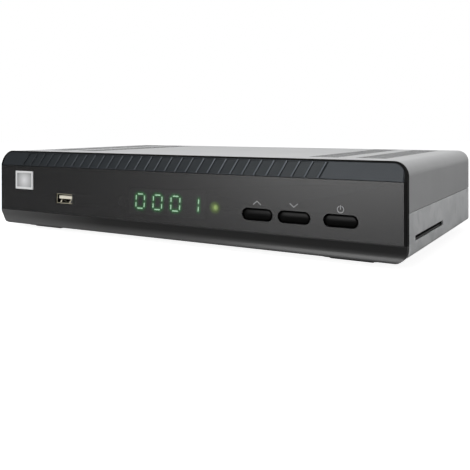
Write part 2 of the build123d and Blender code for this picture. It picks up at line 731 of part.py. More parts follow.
# ------------------------------------------------------------------ buttons
def button(x):
    """Obround cap with a crowned face, a flange behind the web and a pusher for the switch."""
    cap_front = front + KEY_SUNK
    body = along_y(Pos(x, key_z) * key_outline(0), cap_front, flange_back)
    body = fillet(body.edges().group_by(Axis.Y)[0], KEY_CROWN)
    return body + along_y(Pos(x, key_z) * key_outline(KEY_GAP + KEY_FLANGE_RIM), web_back, flange_back)


def plunger(x):
    """Round actuator of one switch, touching its button."""
    return pin_y(x, key_z, PLUNGER_RADIUS, flange_back, board_face - SWITCH_BODY + PLUNGER_SEAT)


def button_switches():
    """Square switch housings on the front board, bored for their plungers."""
    pieces = []
    for x, z in button_places():
        half = SWITCH_SIZE / 2
        case = along_y(area(x - half, x + half, z - half, z + half), board_face - SWITCH_BODY, board_face)
        bore_end = board_face - SWITCH_BODY + PLUNGER_SEAT + TRAVEL + PLUNGER_GAP
        pieces.append(case - pin_y(x, z, PLUNGER_RADIUS + PLUNGER_GAP, board_face - SWITCH_BODY, bore_end))
    return group(pieces)


def panel_symbols():
    """Marks printed over the buttons: two chevrons and the standby sign."""
    pieces = []
    for name, turn in (("up", 1), ("down", -1)):
        half, rise = CHEVRON_WIDTH / 2, turn * CHEVRON_HEIGHT / 2
        arms = Polyline((-half, -rise), (0, rise), (half, -rise))
        pieces.append(Pos(key_x[name], symbol_z) * trace(arms, SYMBOL_LINE))
    ring = Circle(POWER_RING) - Circle(POWER_RING - SYMBOL_LINE)
    ring -= Pos(0, POWER_RING) * Rectangle(2.6 * SYMBOL_LINE, POWER_RING)
    bar = Pos(0, POWER_RING + SYMBOL_LINE / 2 - POWER_BAR / 2) * Rectangle(SYMBOL_LINE, POWER_BAR)
    pieces.append(Pos(key_x["power"], symbol_z - SYMBOL_LINE) * (ring + bar))
    return group([along_y(piece, front - SYMBOL_THICKNESS, front) for piece in pieces])


# ------------------------------------------------------------------ front electronics
def segment(x0, z0, x1, z1):
    """Pointed bar from one end to the other, across or up."""
    half = DIGIT_LINE / 2
    if z0 == z1:
        return Polygon((x0, z0), (x0 + half, z0 + half), (x1 - half, z0 + half),
                       (x1, z0), (x1 - half, z0 - half), (x0 + half, z0 - half), align=None)
    lean = DIGIT_SLANT * half
    return Polygon((x0, z0), (x0 + half + lean, z0 + half), (x1 + half - lean, z1 - half),
                   (x1, z1), (x1 - half - lean, z1 - half), (x0 - half + lean, z0 + half), align=None)


def digit_segments(place):
    """The seven bars of a digit, A to G, for a digit place from 0 to 3."""
    middle = row_of(4, DIGIT_PITCH, DISPLAY_SHIFT)[place]
    half_w, half_h = (DIGIT_WIDTH - DIGIT_LINE) / 2, (DIGIT_HEIGHT - DIGIT_LINE) / 2

    def spot(column, row):
        """Corner of the digit, leaning with its height."""
        return middle + column * half_w + row * half_h * DIGIT_SLANT, digit_z + row * half_h

    def across(row):
        x0, z0 = spot(-1, row)
        x1, z1 = spot(1, row)
        return segment(x0 + DIGIT_SHORT, z0, x1 - DIGIT_SHORT, z1)

    def upright(column, row):
        x0, z0 = spot(column, row)
        x1, z1 = spot(column, row + 1)
        lean = DIGIT_SLANT * DIGIT_CLEFT
        return segment(x0 + lean, z0 + DIGIT_CLEFT, x1 - lean, z1 - DIGIT_CLEFT)

    return {
        "a": across(1), "b": upright(1, 0), "c": upright(1, -1), "d": across(-1),
        "e": upright(-1, -1), "f": upright(-1, 0), "g": across(0),
    }


def display_bars(lit):
    """Bars of the four digits that show 0001, either the lit ones or the dark ones."""
    shown = ["abcdef", "abcdef", "abcdef", "bc"]
    return [
        along_y(bar, display_front - SEGMENT_THICKNESS, display_front)
        for place in range(4)
        for name, bar in digit_segments(place).items()
        if (name in shown[place]) == lit
    ]


def display_module():
    """Housing of the four-digit display, standing on the front board."""
    return along_y(display_outline(0), display_front, board_face)


def status_led():
    """Round lamp beside the display."""
    body = pin_y(led_x, led_z, LED_RADIUS, display_front, board_face)
    body = fillet(body.edges().group_by(Axis.Y)[0], LED_DOME)
    return body + pin_y(led_x, led_z, LED_RADIUS + SLIP, board_face - LED_COLLAR, board_face)


def remote_eye():
    """Receiver for the remote control: a block with a domed window."""
    half = EYE_RADIUS + SLIP
    dome = pin_y(eye_x, led_z, EYE_RADIUS, display_front, board_face)
    dome = fillet(dome.edges().group_by(Axis.Y)[0], EYE_DOME)
    return dome + along_y(area(eye_x - half, eye_x + half, led_z - half, led_z + half), web_back, board_face)


def front_board():
    """Upright board behind the window panel."""
    plate = area(front_board_left, front_board_right, front_board_low, front_board_top)
    plate -= Sketch() + [Pos(x, z) * Circle(SCREW_RADIUS + SCREW_GAP) for x, z in post_places]
    return along_y(plate, board_face, board_back)


def front_board_screws():
    """Screws from the rear of the front board into the posts."""
    turn = Rot(-90, 0, 0)
    return group([Pos(x, board_back, z) * turn * screw(BOARD + TONGUE) for x, z in post_places])


# ------------------------------------------------------------------ front socket
def usb_shell():
    """Plated sheet shell of the USB socket, open at the front, with a flared mouth."""
    outer = Pos(usb_x, usb_z) * Rectangle(USB_WIDTH, USB_HEIGHT)
    inner = Pos(usb_x, usb_z) * Rectangle(USB_WIDTH - 2 * SHELL, USB_HEIGHT - 2 * SHELL)
    body = along_y(outer - inner, usb_front, usb_front + USB_DEPTH)
    lip = USB_LIP - SLIP
    lips = Pos(usb_x, usb_z) * Rectangle(USB_WIDTH + 2 * lip, USB_HEIGHT + 2 * lip)
    return body + along_y(lips - inner, usb_front, usb_front + SHELL)


def usb_tongue():
    """Moulded insert: the tongue and the block that closes the rear of the shell."""
    low, high = usb_z - USB_HEIGHT / 2 + SHELL, usb_z + USB_HEIGHT / 2 - SHELL
    half = USB_WIDTH / 2 - SHELL
    rear_y = usb_front + USB_DEPTH
    body = block(usb_x - half, usb_x + half, rear_y - USB_BLOCK, rear_y, low, high)
    half = TONGUE_WIDTH / 2
    tongue_top = high - TONGUE_TOP_GAP
    return body + block(usb_x - half, usb_x + half, usb_front + TONGUE_SUNK, rear_y - USB_BLOCK,
                        tongue_top - TONGUE_HEIGHT, tongue_top)


def usb_contacts():
    """Four strips on the underside of the tongue."""
    under = usb_z + USB_HEIGHT / 2 - SHELL - TONGUE_TOP_GAP - TONGUE_HEIGHT
    start, end = usb_front + 2 * TONGUE_SUNK, usb_front + USB_DEPTH - USB_BLOCK
    return group([
        block(x - USB_STRIP / 2, x + USB_STRIP / 2, start, end, under - STRIP_PROUD, under)
        for x in row_of(4, USB_PITCH, usb_x)
    ])


# ------------------------------------------------------------------ main board
def main_board():
    """Board on standoffs, with a tab to the front that carries the USB socket."""
    plate = area(main_left, main_right, main_front, main_rear)
    half = USB_TAB_WIDTH / 2
    plate += area(usb_x - half, usb_x + half, usb_front + USB_DEPTH / 3, main_front)
    plate -= Sketch() + [Pos(x, y) * Circle(SCREW_RADIUS + SCREW_GAP) for x, y in standoff_places]
    return along_z(plate, board_low, board_top)


def standoffs():
    """Hexagonal pillars between tray and main board, tapped for the board screws."""
    tube = hexagon(STANDOFF_FLATS) - Circle(SCREW_RADIUS + SCREW_GAP / 2)
    return group([along_z(Pos(x, y) * tube, floor_top, board_low) for x, y in standoff_places])


def board_screws():
    """Screws that hold the main board on its pillars."""
    return group([Pos(x, y, board_top) * screw(BOARD + STANDOFF / 2) for x, y in standoff_places])


def main_chip():
    """Square processor package."""
    half = CHIP_SIZE / 2
    return block(chip_x - half, chip_x + half, chip_y - half, chip_y + half,
                 board_top, board_top + CHIP_HEIGHT)


def heat_sink():
    """Finned block on the processor."""
    half = SINK_SIZE / 2
    low = board_top + CHIP_HEIGHT
    body = block(chip_x - half, chip_x + half, chip_y - half, chip_y + half, low, low + SINK_HEIGHT)
    gap = (SINK_SIZE - FIN) / FIN_COUNT - FIN
    for fin in range(FIN_COUNT):
        x = chip_x - half + FIN + fin * (gap + FIN)
        body -= block(x, x + gap, chip_y - half, chip_y + half, low + SINK_BASE, low + SINK_HEIGHT)
    return body


def memory_chips():
    """Two memory packages and the flash package beside the processor."""
    side = (SINK_SIZE + MEMORY_WIDTH) / 2 + MEMORY_GAP
    places = [(side, 0), (-side, 0), (-side, -MEMORY_LENGTH - MEMORY_GAP / 2)]
    half_x, half_y = MEMORY_WIDTH / 2, MEMORY_LENGTH / 2
    return group([
        block(chip_x + x - half_x, chip_x + x + half_x, chip_y + y - half_y, chip_y + y + half_y,
              board_top, board_top + MEMORY_HEIGHT)
        for x, y in places
    ])


def can_places():
    """Middles of the electrolytic capacitors, in two rows before the rear sockets."""
    pitch = 2 * CAN_RADIUS + CAN_GAP
    return [(supply_x + i * pitch, main_rear - DC_DEPTH - row * pitch) for row in (1, 2) for i in range(3)]


def capacitors():
    """Upright capacitors with rounded rims."""
    pieces = []
    for x, y in can_places():
        body = along_z(Pos(x, y) * Circle(CAN_RADIUS), board_top, board_top + CAN_HEIGHT)
        pieces.append(fillet(body.edges().sort_by(Axis.Z)[-1], CAN_ROUND))
    return group(pieces)


def power_coils():
    """Square shielded coils of the supply."""
    pieces = []
    for i in range(3):
        x = supply_x + (COIL_SIZE + CAN_GAP) * i
        y = main_rear - DC_DEPTH - 3 * (2 * CAN_RADIUS + CAN_GAP) - COIL_SIZE / 2
        half = COIL_SIZE / 2
        coil = block(x - half, x + half, y - half, y + half, board_top, board_top + COIL_HEIGHT)
        pieces.append(fillet(coil.edges().filter_by(Axis.Z), COIL_ROUND))
    return group(pieces)


# ------------------------------------------------------------------ rear sockets
def tuner_can():
    """Folded screening can of the tuner."""
    half = TUNER_WIDTH / 2
    body = block(tuner_x - half, tuner_x + half, can_back - TUNER_DEPTH, can_back,
                 board_top, board_top + TUNER_HEIGHT)
    return fillet(body.edges().filter_by(Axis.Z), SHEET)


def lnb_connectors():
    """Aerial connectors: collar on the tuner can, neck through the panel, threaded barrel."""
    pieces = []
    for x in lnb_x:
        body = along_y(Pos(x, lnb_z) * hexagon(F_FLATS), can_back, panel_in)
        body += pin_y(x, lnb_z, F_NECK, panel_in, panel_out + F_NUT)
        barrel = pin_y(x, lnb_z, F_RADIUS, panel_out + F_NUT, rear + F_REACH)
        body += chamfer(barrel.edges().group_by(Axis.Y)[-1], F_CHAMFER)
        pieces.append(body - pin_y(x, lnb_z, F_CORE, panel_out, rear + F_REACH))
    return group(pieces)


def lnb_nuts():
    """Hexagonal nuts that clamp the aerial connectors to the rear panel."""
    ring = hexagon(F_NUT_FLATS) - Circle(F_NECK + SCREW_GAP / 2)
    return group([along_y(Pos(x, lnb_z) * ring, panel_out, panel_out + F_NUT) for x in lnb_x])


def lnb_insulators():
    """White cores of the aerial connectors, each with its contact hole."""
    pieces = []
    for x in lnb_x:
        core = pin_y(x, lnb_z, F_CORE, panel_out, rear + F_REACH - F_CHAMFER)
        pieces.append(core - pin_y(x, lnb_z, F_PIN_HOLE, panel_out + F_PIN_FLOOR, rear + F_REACH))
    return group(pieces)


def ethernet_socket():
    """Network socket: block with a stepped port for the plug and its latch."""
    half = ETHERNET_WIDTH / 2
    body = block(ethernet_x - half, ethernet_x + half, nose_back - ETHERNET_DEPTH, nose_back,
                 board_top, board_top + ETHERNET_HEIGHT)
    port = Rectangle(PORT_WIDTH, PORT_HEIGHT)
    port += Pos(0, -PORT_HEIGHT / 2 - LATCH_STEP / 2) * Rectangle(LATCH_WIDTH, LATCH_STEP)
    port += Pos(0, -PORT_HEIGHT / 2 - LATCH_DROP / 2) * Rectangle(LATCH_TIP_WIDTH, LATCH_DROP)
    return body - along_y(Pos(ethernet_x, port_z) * port, nose_back - PORT_DEPTH, nose_back)


def ethernet_contacts():
    """Eight spring wires under the roof of the port."""
    roof = port_z + PORT_HEIGHT / 2
    half = PORT_WIRE / 2
    return group([
        block(x - half, x + half, nose_back - PORT_DEPTH, nose_back - PORT_WIRE_SUNK, roof - PORT_WIRE, roof)
        for x in row_of(PORT_WAYS, PORT_PITCH, ethernet_x)
    ])


def shell_outline(width, height, inset):
    """Six-sided mouth of the video socket, with its lower corners cut off."""
    w, h, cut = width / 2 - inset, height / 2 - inset, height / 4
    return Polygon((-w, h), (w, h), (w, -h + cut), (w - cut, -h), (-w + cut, -h), (-w, -h + cut), align=None)


def video_shell():
    """Plated shell of the video socket."""
    ring = shell_outline(VIDEO_WIDTH, VIDEO_HEIGHT, 0) - shell_outline(VIDEO_WIDTH, VIDEO_HEIGHT, SHELL)
    place = Pos(video_x, board_top + VIDEO_HEIGHT / 2)
    return along_y(place * ring, nose_back - VIDEO_DEPTH, nose_back)


def video_insert():
    """Moulded tongue of the video socket and the block behind it."""
    place = Pos(video_x, board_top + VIDEO_HEIGHT / 2)
    start = nose_back - VIDEO_DEPTH
    body = along_y(place * shell_outline(VIDEO_WIDTH, VIDEO_HEIGHT, SHELL), start, start + VIDEO_BLOCK)
    tongue = Pos(0, VIDEO_TONGUE_RISE) * Rectangle(VIDEO_TONGUE_WIDTH, VIDEO_TONGUE_HEIGHT)
    return body + along_y(place * tongue, start, nose_back - VIDEO_TONGUE_SUNK)


def scart_outline(inset):
    """Mouth of the multi-pin socket: a slanted left end and a square right end."""
    w, h = SCART_WIDTH / 2 - inset, SCART_HEIGHT / 2 - inset
    return Polygon((-w, h), (w, h), (w, -h), (-w + h, -h), (-w, 0), align=None)


def scart_shroud():
    """Sheet collar of the multi-pin socket."""
    ring = Pos(scart_x, scart_z) * (scart_outline(0) - scart_outline(SCART_WALL))
    return along_y(ring, panel_in, panel_out + SCART_REACH)


def scart_socket():
    """Block of the multi-pin socket with two rows of contact slots."""
    half = SCART_WIDTH / 2
    body = block(scart_x - half, scart_x + half, panel_in - SCART_DEPTH, panel_in,
                 board_top, scart_z + SCART_HEIGHT / 2)
    front_part = Pos(scart_x, scart_z) * scart_outline(SCART_WALL + SLIP)
    body += along_y(front_part, panel_in, panel_out + SCART_REACH / 2)
    slot = Rectangle(SCART_SLOT_WIDTH, SCART_SLOT_HEIGHT)
    slots = Sketch() + [
        Pos(x + row * SCART_PITCH / 4, scart_z + row * SCART_ROW) * slot
        for x in row_of(10, SCART_PITCH, scart_x) for row in (-1, 1)
    ]
    return body - along_y(slots, panel_in - SCART_DEPTH / 2, panel_out + SCART_REACH / 2)


def audio_jack():
    """Block of the round audio socket with the collar that fills its hole."""
    half = AV_BLOCK / 2
    body = block(av_x - half, av_x + half, panel_in - AV_BLOCK, panel_in, board_top, board_top + AV_BLOCK)
    return body + pin_y(av_x, av_z, half - 2 * NOSE_GAP, panel_in, nose_back)


def audio_barrel():
    """Plated outer contact of the audio socket."""
    body = pin_y(av_x, av_z, AV_RADIUS, nose_back, rear + AV_REACH)
    body = chamfer(body.edges().group_by(Axis.Y)[-1], F_CHAMFER / 2)
    return body - pin_y(av_x, av_z, AV_BORE, nose_back, rear + AV_REACH)


def audio_core():
    """Coloured insulator inside the barrel, bored for the plug's pin."""
    core = pin_y(av_x, av_z, AV_BORE, nose_back, rear + AV_REACH - AV_CORE_SUNK)
    return core - pin_y(av_x, av_z, AV_BORE / 2, nose_back, rear + AV_REACH)


def remote_jack():
    """Socket for an outside remote-control eye: block, round nose and bore."""
    half = JACK_BLOCK / 2
    body = block(jack_x - half, jack_x + half, panel_in - JACK_DEPTH, panel_in,
                 board_top, board_top + JACK_BLOCK)
    body += pin_y(jack_x, jack_z, JACK_NOSE, panel_in, nose_back)
    return body - pin_y(jack_x, jack_z, JACK_RADIUS, nose_back - JACK_DEPTH, nose_back)


def supply_inlet():
    """Block of the low-voltage inlet with its round well."""
    half = DC_WIDTH / 2
    body = block(dc_x - half, dc_x + half, nose_back - DC_DEPTH, nose_back, board_top, board_top + DC_HEIGHT)
    return body - pin_y(dc_x, dc_z, DC_BORE, nose_back - DC_HOLE_DEPTH, nose_back)


def supply_pin():
    """Centre contact of the low-voltage inlet."""
    body = pin_y(dc_x, dc_z, DC_PIN, nose_back - DC_HOLE_DEPTH, nose_back - DC_PIN_SUNK)
    return fillet(body.edges().group_by(Axis.Y)[-1], DC_PIN / 2)


# ------------------------------------------------------------------ card reader and ribbon
def card_reader():
    """Frame under the main board that takes a card through the mouth in the tray."""
    low = reader_low
    body = block(reader_right - READER_LENGTH, reader_right, card_y0 - READER_WALL, card_y1 + READER_WALL,
                 low, board_low)
    slot = block(reader_right - READER_LENGTH + READER_WALL, reader_right, card_y0, card_y1,
                 card_low, card_low + CARD_SLOT)
    return body - slot


def card_contacts():
    """Eight spring contacts on the floor of the card slot, in two rows."""
    middle = (card_y0 + card_y1) / 2
    half = CONTACT_WIDTH / 2
    return group([
        block(x, x + CONTACT_LENGTH, y - half, y + half, card_low, card_low + CONTACT_HEIGHT)
        for y in row_of(4, CONTACT_PITCH, middle)
        for x in row_of(2, CONTACT_ROWS, reader_right - READER_LENGTH / 2)
    ])


def ribbon_places():
    """Ends of the ribbon: height on the front board and distance back on the main board."""
    return front_board_low + RIBBON_UP, main_front + RIBBON_REACH


def ribbon_sockets():
    """Sockets of the ribbon on the front board and on the main board."""
    z, y = ribbon_places()
    half = RIBBON_WIDTH / 2 + RIBBON_EAR
    upper = block(ribbon_x - half, ribbon_x + half, board_back, board_back + RIBBON_SOCKET,
                  z - RIBBON_SOCKET / 2, z + RIBBON_SOCKET / 2)
    lower = block(ribbon_x - half, ribbon_x + half, y - RIBBON_SOCKET / 2, y + RIBBON_SOCKET / 2,
                  board_top, board_top + RIBBON_SOCKET)
    return group([upper, lower])


def ribbon():
    """Flat flexible cable from board to board, with one round bend."""
    z, y = ribbon_places()
    start = board_back + RIBBON_SOCKET
    end = board_top + RIBBON_SOCKET
    radius = min(y - start, z - end) * 0.8
    path = FilletPolyline((start, z), (y, z), (y, end), radius=radius)
    return along_x(trace(path, RIBBON), ribbon_x - RIBBON_WIDTH / 2, ribbon_x + RIBBON_WIDTH / 2)


# ------------------------------------------------------------------ nodes
NODES = {
    "top_cover": top_cover,
    "base_tray": base_tray,
    "rear_panel": rear_panel,
    "cover_screws": cover_screws,
    "tray_screws": tray_screws,
    "feet": feet,
    "foot_pads": foot_pads,
    "front_bezel": front_bezel,
    "front_lens": front_lens,
    "trim_strip": trim_strip,
    "badge_plate": badge_plate,
    "button_switches": button_switches,
    "panel_symbols": panel_symbols,
    "display_module": display_module,
    "display_lit_bars": lambda: group(display_bars(True)),
    "display_dark_bars": lambda: group(display_bars(False)),
    "status_led": status_led,
    "remote_eye": remote_eye,
    "front_board": front_board,
    "front_board_screws": front_board_screws,
    "usb_shell": usb_shell,
    "usb_tongue": usb_tongue,
    "usb_contacts": usb_contacts,
    "main_board": main_board,
    "standoffs": standoffs,
    "board_screws": board_screws,
    "main_chip": main_chip,
    "heat_sink": heat_sink,
    "memory_chips": memory_chips,
    "capacitors": capacitors,
    "power_coils": power_coils,
    "tuner_can": tuner_can,
    "lnb_connectors": lnb_connectors,
    "lnb_nuts": lnb_nuts,
    "lnb_insulators": lnb_insulators,
    "ethernet_socket": ethernet_socket,
    "ethernet_contacts": ethernet_contacts,
    "video_shell": video_shell,
    "video_insert": video_insert,
    "scart_shroud": scart_shroud,
    "scart_socket": scart_socket,
    "audio_jack": audio_jack,
    "audio_barrel": audio_barrel,
    "audio_core": audio_core,
    "remote_jack": remote_jack,
    "supply_inlet": supply_inlet,
    "supply_pin": supply_pin,
    "card_reader": card_reader,
    "card_contacts": card_contacts,
    "ribbon_sockets": ribbon_sockets,
    "ribbon": ribbon,
}
for name, x in key_x.items():
    NODES[f"{name}_button"] = lambda x=x: button(x)
    NODES[f"{name}_plunger"] = lambda x=x: plunger(x)

os.makedirs("parts", exist_ok=True)
for name, make in NODES.items():
    export_step(make(), f"parts/{name}.step")
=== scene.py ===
"""Looks of a small desktop satellite receiver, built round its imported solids.  Metres, +X right,
+Y rear, +Z up.  Sizes in millimetres are turned to metres with MM."""
import json
import math

import bpy
import numpy as np
from mathutils import Matrix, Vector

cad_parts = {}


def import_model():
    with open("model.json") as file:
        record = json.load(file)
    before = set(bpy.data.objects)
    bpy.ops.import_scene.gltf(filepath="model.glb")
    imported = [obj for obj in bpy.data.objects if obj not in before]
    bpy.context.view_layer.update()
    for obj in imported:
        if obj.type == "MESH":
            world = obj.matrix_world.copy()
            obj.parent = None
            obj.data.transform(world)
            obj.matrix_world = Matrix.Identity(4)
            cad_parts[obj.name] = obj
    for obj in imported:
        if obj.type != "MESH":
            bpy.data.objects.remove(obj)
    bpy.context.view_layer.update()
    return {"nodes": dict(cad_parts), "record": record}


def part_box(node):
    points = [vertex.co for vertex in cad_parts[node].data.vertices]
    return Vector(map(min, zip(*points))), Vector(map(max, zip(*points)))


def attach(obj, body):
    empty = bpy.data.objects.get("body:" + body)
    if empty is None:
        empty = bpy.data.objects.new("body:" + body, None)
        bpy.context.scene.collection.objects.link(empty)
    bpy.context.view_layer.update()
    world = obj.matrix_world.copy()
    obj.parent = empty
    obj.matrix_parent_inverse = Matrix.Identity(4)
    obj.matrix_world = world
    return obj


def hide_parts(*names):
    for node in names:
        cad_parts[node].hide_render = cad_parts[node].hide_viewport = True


MM = 0.001

# ------------------------------------------------------------------ camera and studio
FOCAL_LENGTH = 49.31              # for a sensor 36 mm wide
SHIFT_Y = -0.234
EYE = (207.58, -278.98, 64.59)    # camera: right of the middle, before the face of the front, height
EYE_YAW = 30.463                  # degrees left of straight back
EYE_PITCH = 0.05                  # degrees down
EYE_ROLL = -0.118

WHITE = "#ffffff"
FLOOR_LIFT = 0.9                  # glow of the floor to the eye, so that only shadows stay grey
FLOOR_RADIUS = 2.0                # metres
FILL = 0.36                       # even light from all round
BACKDROP_AXIS = (0.33, 0.94, 0.0)
GLOSS_DARK = 0.1                  # backdrop in gloss: against the axis, and along it
GLOSS_BRIGHT = 0.85
# soft lamps: place, point they shine on, width and height, watts
LAMPS = {
    "key": ((-150, -350, 800), (0, 0, 20), (700, 500), 3.2),
    "front": ((-95, -700, 150), (0, -75, 25), (390, 300), 2.65),
    "front high": ((-120, -600, 430), (40, -75, 40), (420, 260), 0.35),
}

# ------------------------------------------------------------------ reach and light of finishes
SPANGLE = 5.0                     # crystals of the zinc
TRACK_SPACING = 4.0               # copper tracks of the boards
VENTS_FROM_SIDE = 14.0            # from the cover's edges to its fields of vent slots
VENTS_FROM_FRONT = 15.0
VENTS_FROM_REAR = 1.0
VENT_SHADE_DEPTHS = (3.0, 0.02)          # painted shade on the walls of the slots, from and to under the cover's top
HALO_RADIUS = 3.6                 # painted glow round the status lamp, standing in for its scattered light
HALO_SQUASH = 3                   # how much shallower than wide that is
CREASE_BAND = 0.4                 # change of the moulding's finish under the window panel
SHEEN_REACH = 85.0                 # painted sheen over the left end of the chin, fading over this length
BADGE_RIM = 1.3
BADGE_HIGHLIGHT_REACH = 8.0                 # painted highlight: from the badge's middle to its darkest
MOUTH_DEPTH = 1.0                 # plated metal at the mouth of the front socket's shell; deeper in, painted shade
MOUTH_LIP = 0.06                  # margin before its face
GLOW_REACH = 0.95                 # spread of the painted glow round a lit bar
BAR_LIGHT = 9.0                   # glow of the lit bars and of the lamp, and the painted glow of the halo round each
LAMP_LIGHT = 2.2
BAR_HALO_LIGHT = 3.5
LAMP_HALO_LIGHT = 4.5

# ------------------------------------------------------------------ sizes of the pieces made here
CORNER = 6.6                      # outer corner radius of the front
RIB_PITCH = 6.85
RIB_SLANT = 3.65                  # sideways run of a rib over the height of the strip
RIB_RIGHT_IN = 38.0               # top of the last rib from the right edge of the front
RIB_LEFT_IN = 18.0
RIB_LAND = 0.9
RIB_DEPTH = 0.5
RIB_FACET = 0.2                   # depth of a facet where it meets its rib
RIB_WALL = 0.02                   # run of the steep wall, and the narrow floor beside it
RIB_FLOOR = 0.45
RAIL = 0.35                       # plain edge over and under the ribs, and the step to it
RAIL_STEP = 0.05
EDGE = 0.25                       # bevel round the band
STRIP_THICKNESS = 0.8
LEFT_SHADE_REACH = 60.0                 # painted shade darkens the band towards its left end, over this length
CROWN = 1.1                       # rounding of a button's face
KEY_FLANGE = 1.6
KEY_FLANGE_THICKNESS = 1.0
KEY_SWELL = 0.12                  # how far the middle of the face stands out
GLOW_GRID = (170, 60)             # points of the card behind the lit bars
GLOW_LEFT = 3.0                   # card past the bars
GLOW_RIGHT = 2.4
GLOW_TALL = 2.2
GLOW_FRONT = 0.06                 # gaps before and behind the card
GLOW_REAR = 0.01
SPRING_SPACING = 7.2              # leaf springs of the front socket
SPRING_WIDTH = 0.9
SPRING_LENGTH = 4.5
SPRING_RISE = 1.25
SPRING_SHEET = 0.12
SPRING_FROM_MOUTH = 0.3
SOCKET_FLOOR = 0.55               # floor of the socket over the lowest point of its shell
AERIAL_SPACING = 22.0             # threaded aerial connectors
AERIAL_FLATS = 11.0
AERIAL_NECK = 4.4
AERIAL_RADIUS = 4.76
AERIAL_BORE = 3.2
AERIAL_CHAMFER = 0.5
THREAD_PITCH = 0.794              # 32 turns an inch
THREAD_DEPTH = 0.35
THREAD_RINGS = 96
PANEL_SHEET = 0.8                 # steel of the rear panel


# ------------------------------------------------------------------ helpers
def linear(code):
    """Linear RGBA of an sRGB hex colour: the usual curve, straight below 0.04045."""
    srgb = np.array([int(code[i:i + 2], 16) for i in (1, 3, 5)]) / 255
    value = np.where(srgb <= 0.04045, srgb / 12.92, ((srgb + 0.055) / 1.055) ** 2.4)
    return (*value.tolist(), 1.0)


def add(tree, kind, links=(), **settings):
    """Add a node: settings are its own properties, and links gives its sockets numbers, colours or
    outputs."""
    new = tree.nodes.new(kind)
    for name, value in settings.items():
        setattr(new, name, value)
    for name, value in dict(links).items():
        if isinstance(value, bpy.types.NodeSocket):
            tree.links.new(value, new.inputs[name])
        else:
            new.inputs[name].default_value = value
    return new


def surface(name, colour, **sockets):
    """A material whose shader has this colour and these socket values.  Returns it with its shader."""
    material = bpy.data.materials.new(name)
    material.use_nodes = True
    shader = material.node_tree.nodes["Principled BSDF"]
    shader.inputs["Base Color"].default_value = linear(colour)
    for socket, value in sockets.items():
        shader.inputs[socket.replace("_", " ")].default_value = value
    return material, shader


def place_of(tree, stretch=(1, 1, 1)):
    """Object coordinates, in metres, each axis times its stretch."""
    where = add(tree, "ShaderNodeTexCoord").outputs["Object"]
    return add(tree, "ShaderNodeMapping", {"Vector": where, "Scale": stretch}).outputs["Vector"]


def set_stops(ramp, *stops):
    """Give a ramp its colours, each with its place from nought to one."""
    held = ramp.color_ramp.elements
    for stop, (place, colour) in zip(held, (stops[0], stops[-1])):
        stop.position = place
        stop.color = linear(colour)
    for place, colour in stops[1:-1]:
        held.new(place).color = linear(colour)


def inside(tree, axes, ranges):
    """One where each named coordinate lies between its two numbers, in millimetres, else nought."""
    product = None
    for axis, (low, high) in ranges.items():
        near = add(tree, "ShaderNodeMath", {0: axes.outputs[axis], 1: (low + high) / 2 * MM,
                                            2: (high - low) / 2 * MM}, operation="COMPARE").outputs[0]
        product = near if product is None else add(
            tree, "ShaderNodeMath", {0: product, 1: near}, operation="MULTIPLY").outputs[0]
    return product


def grain(material, shader, size, depth, edge=0.15, stretch=(1, 1, 1)):
    """Fine relief of this size and depth in mm, over edges that look rounded by this radius in mm."""
    tree = material.node_tree
    noise = add(tree, "ShaderNodeTexNoise",
                {"Vector": place_of(tree, stretch), "Scale": 1 / (size * MM), "Detail": 2.0})
    round_edge = add(tree, "ShaderNodeBevel", {"Radius": edge * MM}, samples=4)
    bump = add(tree, "ShaderNodeBump", {"Height": noise.outputs["Fac"], "Distance": depth * MM,
                                        "Strength": 1.0, "Normal": round_edge.outputs["Normal"]})
    tree.links.new(bump.outputs["Normal"], shader.inputs["Normal"])


def mottle(material, shader, ends, size, socket="Base Color"):
    """Cloudy change between two colours, or two numbers, over patches of this size in mm."""
    tree = material.node_tree
    noise = add(tree, "ShaderNodeTexNoise",
                {"Vector": place_of(tree), "Scale": 1 / (size * MM), "Detail": 3.0})
    if socket == "Base Color":
        ramp = add(tree, "ShaderNodeValToRGB", {"Fac": noise.outputs["Fac"]})
        set_stops(ramp, (0.35, ends[0]), (0.65, ends[1]))
        tree.links.new(ramp.outputs["Color"], shader.inputs[socket])
    else:
        spread = add(tree, "ShaderNodeMapRange", {"Value": noise.outputs["Fac"], "From Min": 0.35,
                                                  "From Max": 0.65, "To Min": ends[0],
                                                  "To Max": ends[1]})
        tree.links.new(spread.outputs["Result"], shader.inputs[socket])


# ------------------------------------------------------------------ materials
def cover_paint():
    """Powder-coated steel sheet, baked: pale satin grey with a faint orange peel, and painted shade on
    the cut walls of the vent slots and on the underside of the top over their fields."""
    material, shader = surface("powder-coated steel sheet", "#c6c7c8", Roughness=0.42)
    grain(material, shader, size=1.4, depth=0.012, edge=0.4)
    mottle(material, shader, ("#c4c5c6", "#c9cacb"), size=30)
    tree = material.node_tree
    (x0, y0, _), (x1, y1, z1) = millimetres("top_cover")
    axes = add(tree, "ShaderNodeSeparateXYZ", {"Vector": place_of(tree)})
    # painted shade: a dark colour on the slot walls and on the underside of the top within the vent
    # fields
    cut = inside(tree, axes, {"X": (x0 + VENTS_FROM_SIDE, x1 - VENTS_FROM_SIDE),
                              "Y": (y0 + VENTS_FROM_FRONT, y1 - VENTS_FROM_REAR),
                              "Z": (z1 - VENT_SHADE_DEPTHS[0], z1 - VENT_SHADE_DEPTHS[1])})
    paint = shader.inputs["Base Color"].links[0].from_socket
    colour = add(tree, "ShaderNodeMix", {"Factor": cut, "A": paint, "B": linear("#3c3d3e")},
                 data_type="RGBA")
    tree.links.new(colour.outputs["Result"], shader.inputs["Base Color"])
    return material


